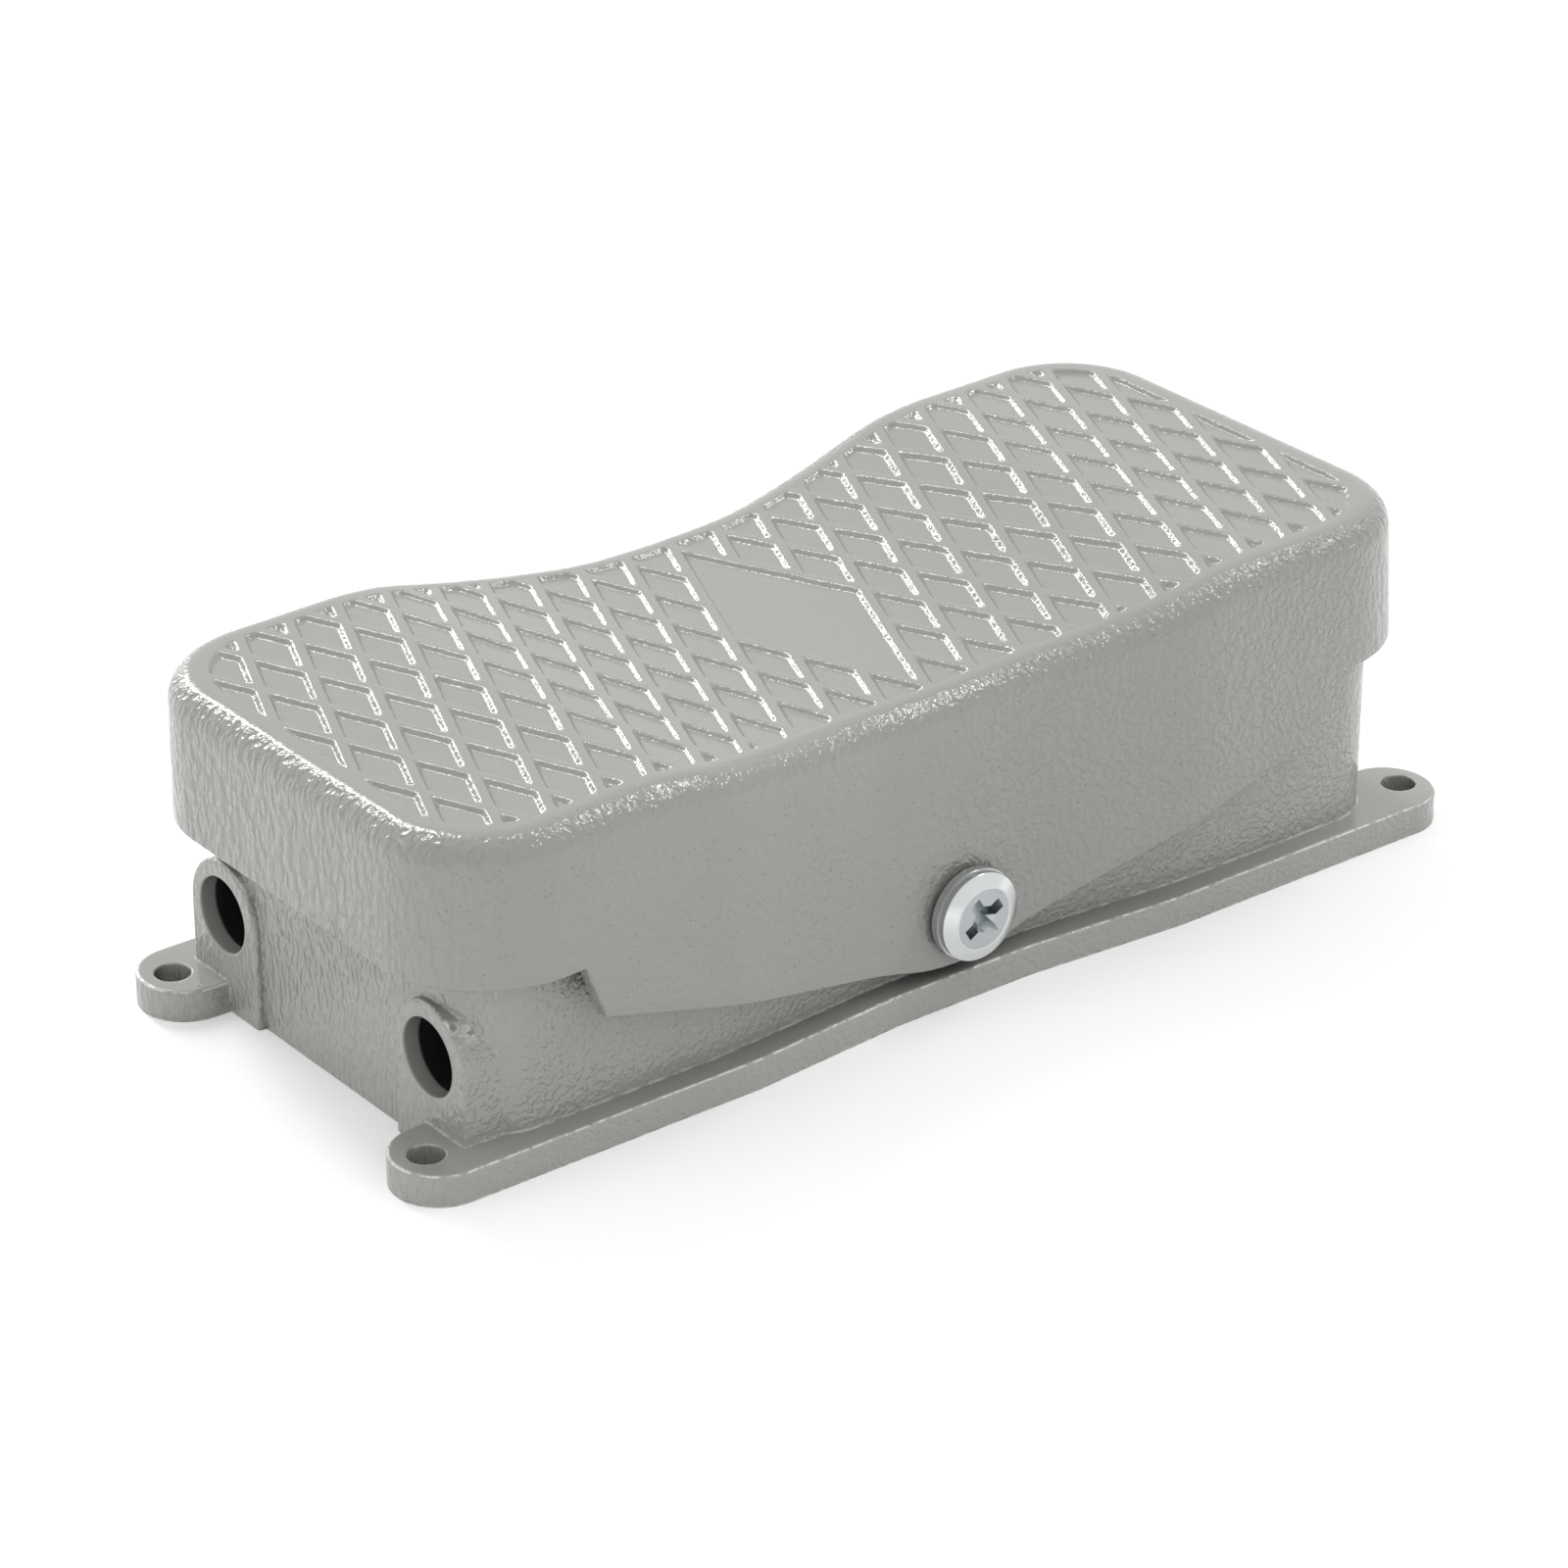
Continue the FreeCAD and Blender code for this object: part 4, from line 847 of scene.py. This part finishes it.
@dataclass
class ShoulderScrew:
    """Zinc-plated shoulder screw with a bevelled head and a cross recess, drawn in millimetres."""

    name: str
    node: str
    side: int
    finish: bpy.types.Material
    face_finish: bpy.types.Material
    wall_y: float = 33.0
    stem: float = 10.0
    stem_point: float = 0.3
    thread_r: float = 3.0
    thread_root: float = 2.55
    pitch: float = 1.0
    crest_start: float = 0.3
    crest_end: float = 0.42
    root_start: float = 0.8
    shoulder_r: float = 4.0
    shoulder: float = 5.5076
    head_r: float = 6.8
    rim: float = 1.25
    bevel: float = 0.9
    flat_r: float = 4.9
    soft: float = 0.18
    recess_turn: float = math.radians(31.0)
    recess_reach: float = 3.5
    recess_half: float = 0.95
    recess_core: float = 2.0
    recess_depth: float = 2.3
    recess_above: float = 0.2
    recess_slant: float = math.tan(math.radians(30.0))
    recess_taper: float = 0.09
    recess_tip: float = 0.35
    ring_inset: float = 0.25
    ring_width: float = 0.16
    ring_depth: float = 0.07
    face_inset: float = 0.3
    face_depth: float = 0.05
    core_inset: float = 0.1
    core_depth: float = 0.2
    sharp_angle: float = 32.0
    spin: int = 128

    def top(self) -> float:
        """Height of the head's face above the shoulder's start."""
        return self.shoulder + self.rim + self.bevel

    def profile(self) -> list[tuple[float, float]]:
        """Outline of the turned shape, from the stem's end to the middle of the face.

        Returns:
            Radius and height pairs.
        """
        seat, top = self.shoulder, self.top()
        points = [(0.0, -self.stem), (self.thread_root, -self.stem)]
        for turn in range(int(self.stem / self.pitch) - 1):
            low = -self.stem + self.stem_point + turn * self.pitch
            points += [(self.thread_r, low + self.crest_start * self.pitch),
                       (self.thread_r, low + self.crest_end * self.pitch),
                       (self.thread_root, low + self.root_start * self.pitch)]
        points += [(self.thread_root, 0.0), (self.shoulder_r, 0.0), (self.shoulder_r, seat)]
        turns = [(self.shoulder_r, seat), (self.head_r, seat), (self.head_r, seat + self.rim), (self.flat_r, top),
                 (0.0, top)]
        for before, corner, after in zip(turns, turns[1:], turns[2:]):
            points += rounded_corner(before, corner, after, self.soft)
        inner = self.flat_r - self.ring_inset
        points += [(inner, top), (inner - self.ring_width / 2, top - self.ring_depth), (inner - self.ring_width, top)]
        return points + [(0.0, top)]

    def blade(self, reach: float, half: float, turn: float) -> bpy.types.Object:
        """Tapered block that reaches down into the head.

        Args:
            reach: Half length at the face.
            half: Half width at the face.
            turn: Angle about the screw's line.

        Returns:
            The block as an object.
        """
        shape = bmesh.new()
        corners = []
        for level in (self.recess_above, -self.recess_depth):
            shrink = level * self.recess_slant
            narrow = 1.0 + min(level, 0.0) * self.recess_taper
            for x, y in ((-1, -1), (1, -1), (1, 1), (-1, 1)):
                far = max(reach + shrink, self.recess_tip) * x
                wide = half * narrow * y if reach > half else max(half + shrink, self.recess_tip) * y
                angle = turn + self.recess_turn
                corners.append(shape.verts.new((far * math.cos(angle) - wide * math.sin(angle),
                                                far * math.sin(angle) + wide * math.cos(angle), self.top() + level)))
        bmesh.ops.convex_hull(shape, input=corners)
        return add_object("blade", finished_mesh(shape, "blade"))

    def recess_cutter(self) -> bpy.types.Object:
        """Two crossing tapered blades and a tapered core, joined as one solid.

        Returns:
            The cutter.
        """
        cutter = self.blade(self.recess_reach, self.recess_half, 0.0)
        combine(cutter, self.blade(self.recess_reach, self.recess_half, math.pi / 2), "UNION")
        combine(cutter, self.blade(self.recess_core, self.recess_core, math.pi / 4), "UNION")
        return cutter

    def in_face(self, place: Vector) -> bool:
        """Whether a place lies in the turned face or in the recess.

        Args:
            place: A place in millimetres, with the screw upright.

        Returns:
            True if it does.
        """
        across = math.hypot(place.x, place.y)
        on_face = across < self.flat_r - self.face_inset and place.z > self.top() - self.face_depth
        return on_face or (across < self.shoulder_r - self.core_inset and place.z > self.shoulder - self.core_depth)

    def build(self) -> bpy.types.Object:
        """Turn the screw, sink its recess and put it in the CAD screw's place.

        Returns:
            The screw.
        """
        screw = add_object(self.name, turned_mesh(self.name, self.profile(), self.spin))
        combine(screw, self.recess_cutter())
        screw.data.materials.clear()
        for finish in (self.finish, self.face_finish):
            screw.data.materials.append(finish)
        for face in screw.data.polygons:
            face.material_index = int(self.in_face(face.center))
        outward = Matrix.Rotation(-self.side * math.pi / 2, 4, "X")
        place = Matrix.Translation((0.0, self.side * self.wall_y * MM, PIVOT_Z * MM))
        screw.data.transform(place @ outward @ Matrix.Scale(MM, 4))
        smooth(screw, self.sharp_angle)
        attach(screw, "base")
        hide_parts(self.node)
        LOG.info("made %s", screw.name)
        return screw


def rounded_corner(before: tuple[float, float], corner: tuple[float, float], after: tuple[float, float],
                   radius: float, steps: int = 4) -> list[tuple[float, float]]:
    """Points of a rounded corner between two straight stretches of a profile.

    Args:
        before: Point before the corner.
        corner: The sharp corner.
        after: Point after the corner.
        radius: Radius of the round.
        steps: Number of steps along the round.

    Returns:
        Points along the round.
    """
    middle = Vector(corner)
    into = (Vector(before) - middle).normalized()
    away = (Vector(after) - middle).normalized()
    half = into.angle(away) / 2
    back = radius / math.tan(half)
    centre = middle + (into + away).normalized() * radius / math.sin(half)
    start, end = ((middle + line * back - centre).normalized() for line in (into, away))
    return [tuple(centre + start.slerp(end, step / steps) * radius) for step in range(steps + 1)]


def turned_mesh(name: str, profile: list[tuple[float, float]], count: int) -> bpy.types.Mesh:
    """Turn a profile about Z.

    Args:
        name: Name of the mesh.
        profile: Radius and height pairs that start and end on the axis.
        count: Number of steps in a full turn.

    Returns:
        A closed mesh.
    """
    shape = bmesh.new()
    turns = [2 * math.pi * step / count for step in range(count)]
    rings = []
    for radius, height in profile:
        around = turns if radius > 0.0 else turns[:1]
        rings.append([shape.verts.new((radius * math.cos(t), radius * math.sin(t), height)) for t in around])
    for below, above in zip(rings[:-1], rings[1:]):
        for step in range(count):
            after = (step + 1) % count
            face = [below[step % len(below)], below[after % len(below)],
                    above[after % len(above)], above[step % len(above)]]
            shape.faces.new(list(dict.fromkeys(face)))
    return finished_mesh(shape, name)


def finished_mesh(shape: bmesh.types.BMesh, name: str) -> bpy.types.Mesh:
    """Turn the faces of a closed shape outwards and keep it as a mesh.

    Args:
        shape: The shape, which is used up.
        name: Name of the mesh.

    Returns:
        The mesh.
    """
    bmesh.ops.recalc_face_normals(shape, faces=shape.faces)
    mesh = bpy.data.meshes.new(name)
    shape.to_mesh(mesh)
    shape.free()
    return mesh


def soft_least(first: np.ndarray, second: np.ndarray, width: float) -> np.ndarray:
    """Smaller of two values, with the corner between them rounded off."""
    overlap = np.maximum(width - np.abs(first - second), 0.0) / width
    return np.minimum(first, second) - overlap * overlap * width / 4


def add_object(name: str, data: bpy.types.ID) -> bpy.types.Object:
    """Put an object into the scene.

    Args:
        name: Name of the object.
        data: Its mesh, lamp or camera.

    Returns:
        The object.
    """
    made = bpy.data.objects.new(name, data)
    bpy.context.scene.collection.objects.link(made)
    return made


def rod(name: str, radius: float, length: float, centre: Vector, segments: int = 96) -> bpy.types.Object:
    """Round rod along Y, used as a cutter.

    Args:
        name: Name of the object.
        radius: Radius in metres.
        length: Length in metres.
        centre: Middle of the rod.
        segments: Number of flat sides.

    Returns:
        The rod.
    """
    shape = bmesh.new()
    bmesh.ops.create_cone(shape, cap_ends=True, segments=segments, radius1=radius, radius2=radius, depth=length)
    bmesh.ops.rotate(shape, verts=shape.verts, cent=(0, 0, 0),
                     matrix=Vector((0, 0, 1)).rotation_difference(Vector((0, 1, 0))).to_matrix())
    bmesh.ops.translate(shape, verts=shape.verts, vec=centre)
    return add_object(name, finished_mesh(shape, name))


def combine(piece: bpy.types.Object, other: bpy.types.Object, operation: str = "DIFFERENCE") -> None:
    """Cut a solid out of a piece or join the two, and remove the solid.

    Args:
        piece: The piece, which gets the new mesh.
        other: The other solid.
        operation: What is done with the two.
    """
    cut = piece.modifiers.new("combine", "BOOLEAN")
    cut.operation = operation
    cut.solver = "MANIFOLD"
    cut.object = other
    shown = piece.evaluated_get(bpy.context.evaluated_depsgraph_get())
    mesh = bpy.data.meshes.new_from_object(shown)
    piece.modifiers.clear()
    piece.data = mesh
    mesh.name = piece.name
    bpy.data.objects.remove(other)


def smooth(piece: bpy.types.Object, angle: float) -> None:
    """Shade a piece smoothly, apart from edges sharper than an angle in degrees."""
    piece.data.shade_smooth()
    piece.data.set_sharp_from_angle(angle=math.radians(angle))


def seen_directly(w: Wiring) -> Socket:
    """Mask of the rays of the camera, of shiny pieces and of clear ones.

    Args:
        w: Wiring of the material or world.

    Returns:
        The mask.
    """
    ray = w.node("LightPath", {}).outputs
    reflected = w.maths("MAXIMUM", ray["Is Glossy Ray"], ray["Is Transmission Ray"])
    return w.maths("MAXIMUM", ray["Is Camera Ray"], reflected)


def facing_turn(back: Vector, roll: float) -> Euler:
    """Turn of a camera or lamp whose back points along a vector, rolled about it."""
    return (back.to_track_quat("Z", "Y").to_matrix() @ Matrix.Rotation(roll, 3, "Z")).to_euler()


@dataclass(frozen=True)
class Lamp:
    """Soft lamp, with its place and size in metres and its power in watts."""

    name: str
    place: Triple
    size: tuple[float, float]
    power: float
    roll: float = 0.0

    def hang(self, aim: Triple) -> None:
        """Put the lamp into the scene.

        Args:
            aim: Point that it faces.
        """
        data = bpy.data.lights.new(self.name, "AREA")
        data.shape = "RECTANGLE"
        data.size, data.size_y = self.size
        data.energy = self.power
        lamp = add_object(self.name, data)
        lamp.location = self.place
        lamp.rotation_euler = facing_turn(Vector(self.place) - Vector(aim), self.roll)


@dataclass
class Studio:
    """Pale floor, soft lights and the camera at the photograph's angle."""

    camera_place: Triple = (-0.422361, -0.535738, 0.364964)
    azimuth: float = math.radians(-37.967)
    elevation: float = math.radians(26.838)
    roll: float = math.radians(0.072)
    lens: float = 119.768
    sensor: float = 36.0
    clip_start: float = 0.01
    lamp_aim: Triple = (0.0, 0.0, 0.03)
    lamps: tuple[Lamp, ...] = (
        Lamp("back_strip", (0.02, 0.97, 0.73), (0.24, 1.28), 8.4),
        Lamp("right_strip", (0.68, -0.2, 1.0), (0.8, 0.09), 2.9, math.radians(22.4)),
        Lamp("left_box", (-0.88, 0.5, 0.5), (0.25, 0.3), 0.4),
    )
    floor_reach: float = 4.0
    floor_colour: Colour = (0.9, 0.9, 0.9, 1.0)
    floor_roughness: float = 0.9
    floor_glow: float = 0.26
    surround: float = 0.76

    def build(self) -> None:
        """Make the camera, the floor, the world and the lamps."""
        self.build_camera()
        self.build_floor()
        self.build_world()
        for lamp in self.lamps:
            lamp.hang(self.lamp_aim)
        LOG.info("made the studio")

    def build_camera(self) -> None:
        """Place the camera that was solved from the photograph."""
        back = Vector((math.sin(self.azimuth) * math.cos(self.elevation),
                       -math.cos(self.azimuth) * math.cos(self.elevation), math.sin(self.elevation)))
        data = bpy.data.cameras.new("camera")
        data.lens = self.lens
        data.sensor_width = self.sensor
        data.sensor_fit = "HORIZONTAL"
        data.clip_start = self.clip_start
        camera = add_object("camera", data)
        camera.location = self.camera_place
        camera.rotation_euler = facing_turn(back, self.roll)
        bpy.context.scene.camera = camera

    def build_floor(self) -> None:
        """Wide pale floor that keeps the object's shadow."""
        mesh = bpy.data.meshes.new("floor")
        reach = self.floor_reach
        mesh.from_pydata([(-reach, -reach, 0), (reach, -reach, 0), (reach, reach, 0), (-reach, reach, 0)],
                         [], [(0, 1, 2, 3)])
        floor = add_object("floor", mesh)
        material, w, shader = start_material("floor_white")
        w.feed(shader["Base Color"], self.floor_colour)
        w.feed(shader["Roughness"], self.floor_roughness)
        w.feed(shader["Emission Color"], WHITE)
        w.feed(shader["Emission Strength"], w.maths("MULTIPLY", seen_directly(w), self.floor_glow))
        mesh.materials.append(material)

    def build_world(self) -> None:
        """White surround that cameras and shiny pieces see, with a lower light for the rest."""
        world = bpy.data.worlds.new("surround")
        world.use_nodes = True
        bpy.context.scene.world = world
        w = Wiring(world.node_tree)
        light = world.node_tree.nodes["Background"].inputs
        w.feed(light["Color"], WHITE)
        w.feed(light["Strength"], w.maths("MULTIPLY_ADD", seen_directly(w), 1.0 - self.surround, self.surround))


def main() -> None:
    """Build the whole scene in order."""
    logging.basicConfig(level=logging.INFO, format="%(name)s: %(message)s")
    bpy.context.scene.view_settings.view_transform = "Standard"
    finishes = Finishes()
    finishes.dress_nodes()
    Studio().build()
    Pedal(finishes.coats[Coat.PEDAL], finishes.coats[Coat.TREAD]).build()
    for side, end in ((-1, "front"), (1, "rear")):
        ShoulderScrew(f"shoulder_screw_{end}", f"pivot_screw_{end}", side, finishes.slots[Slot.ZINC],
                      finishes.turned_face).build()


if __name__ == "__main__":
    main()
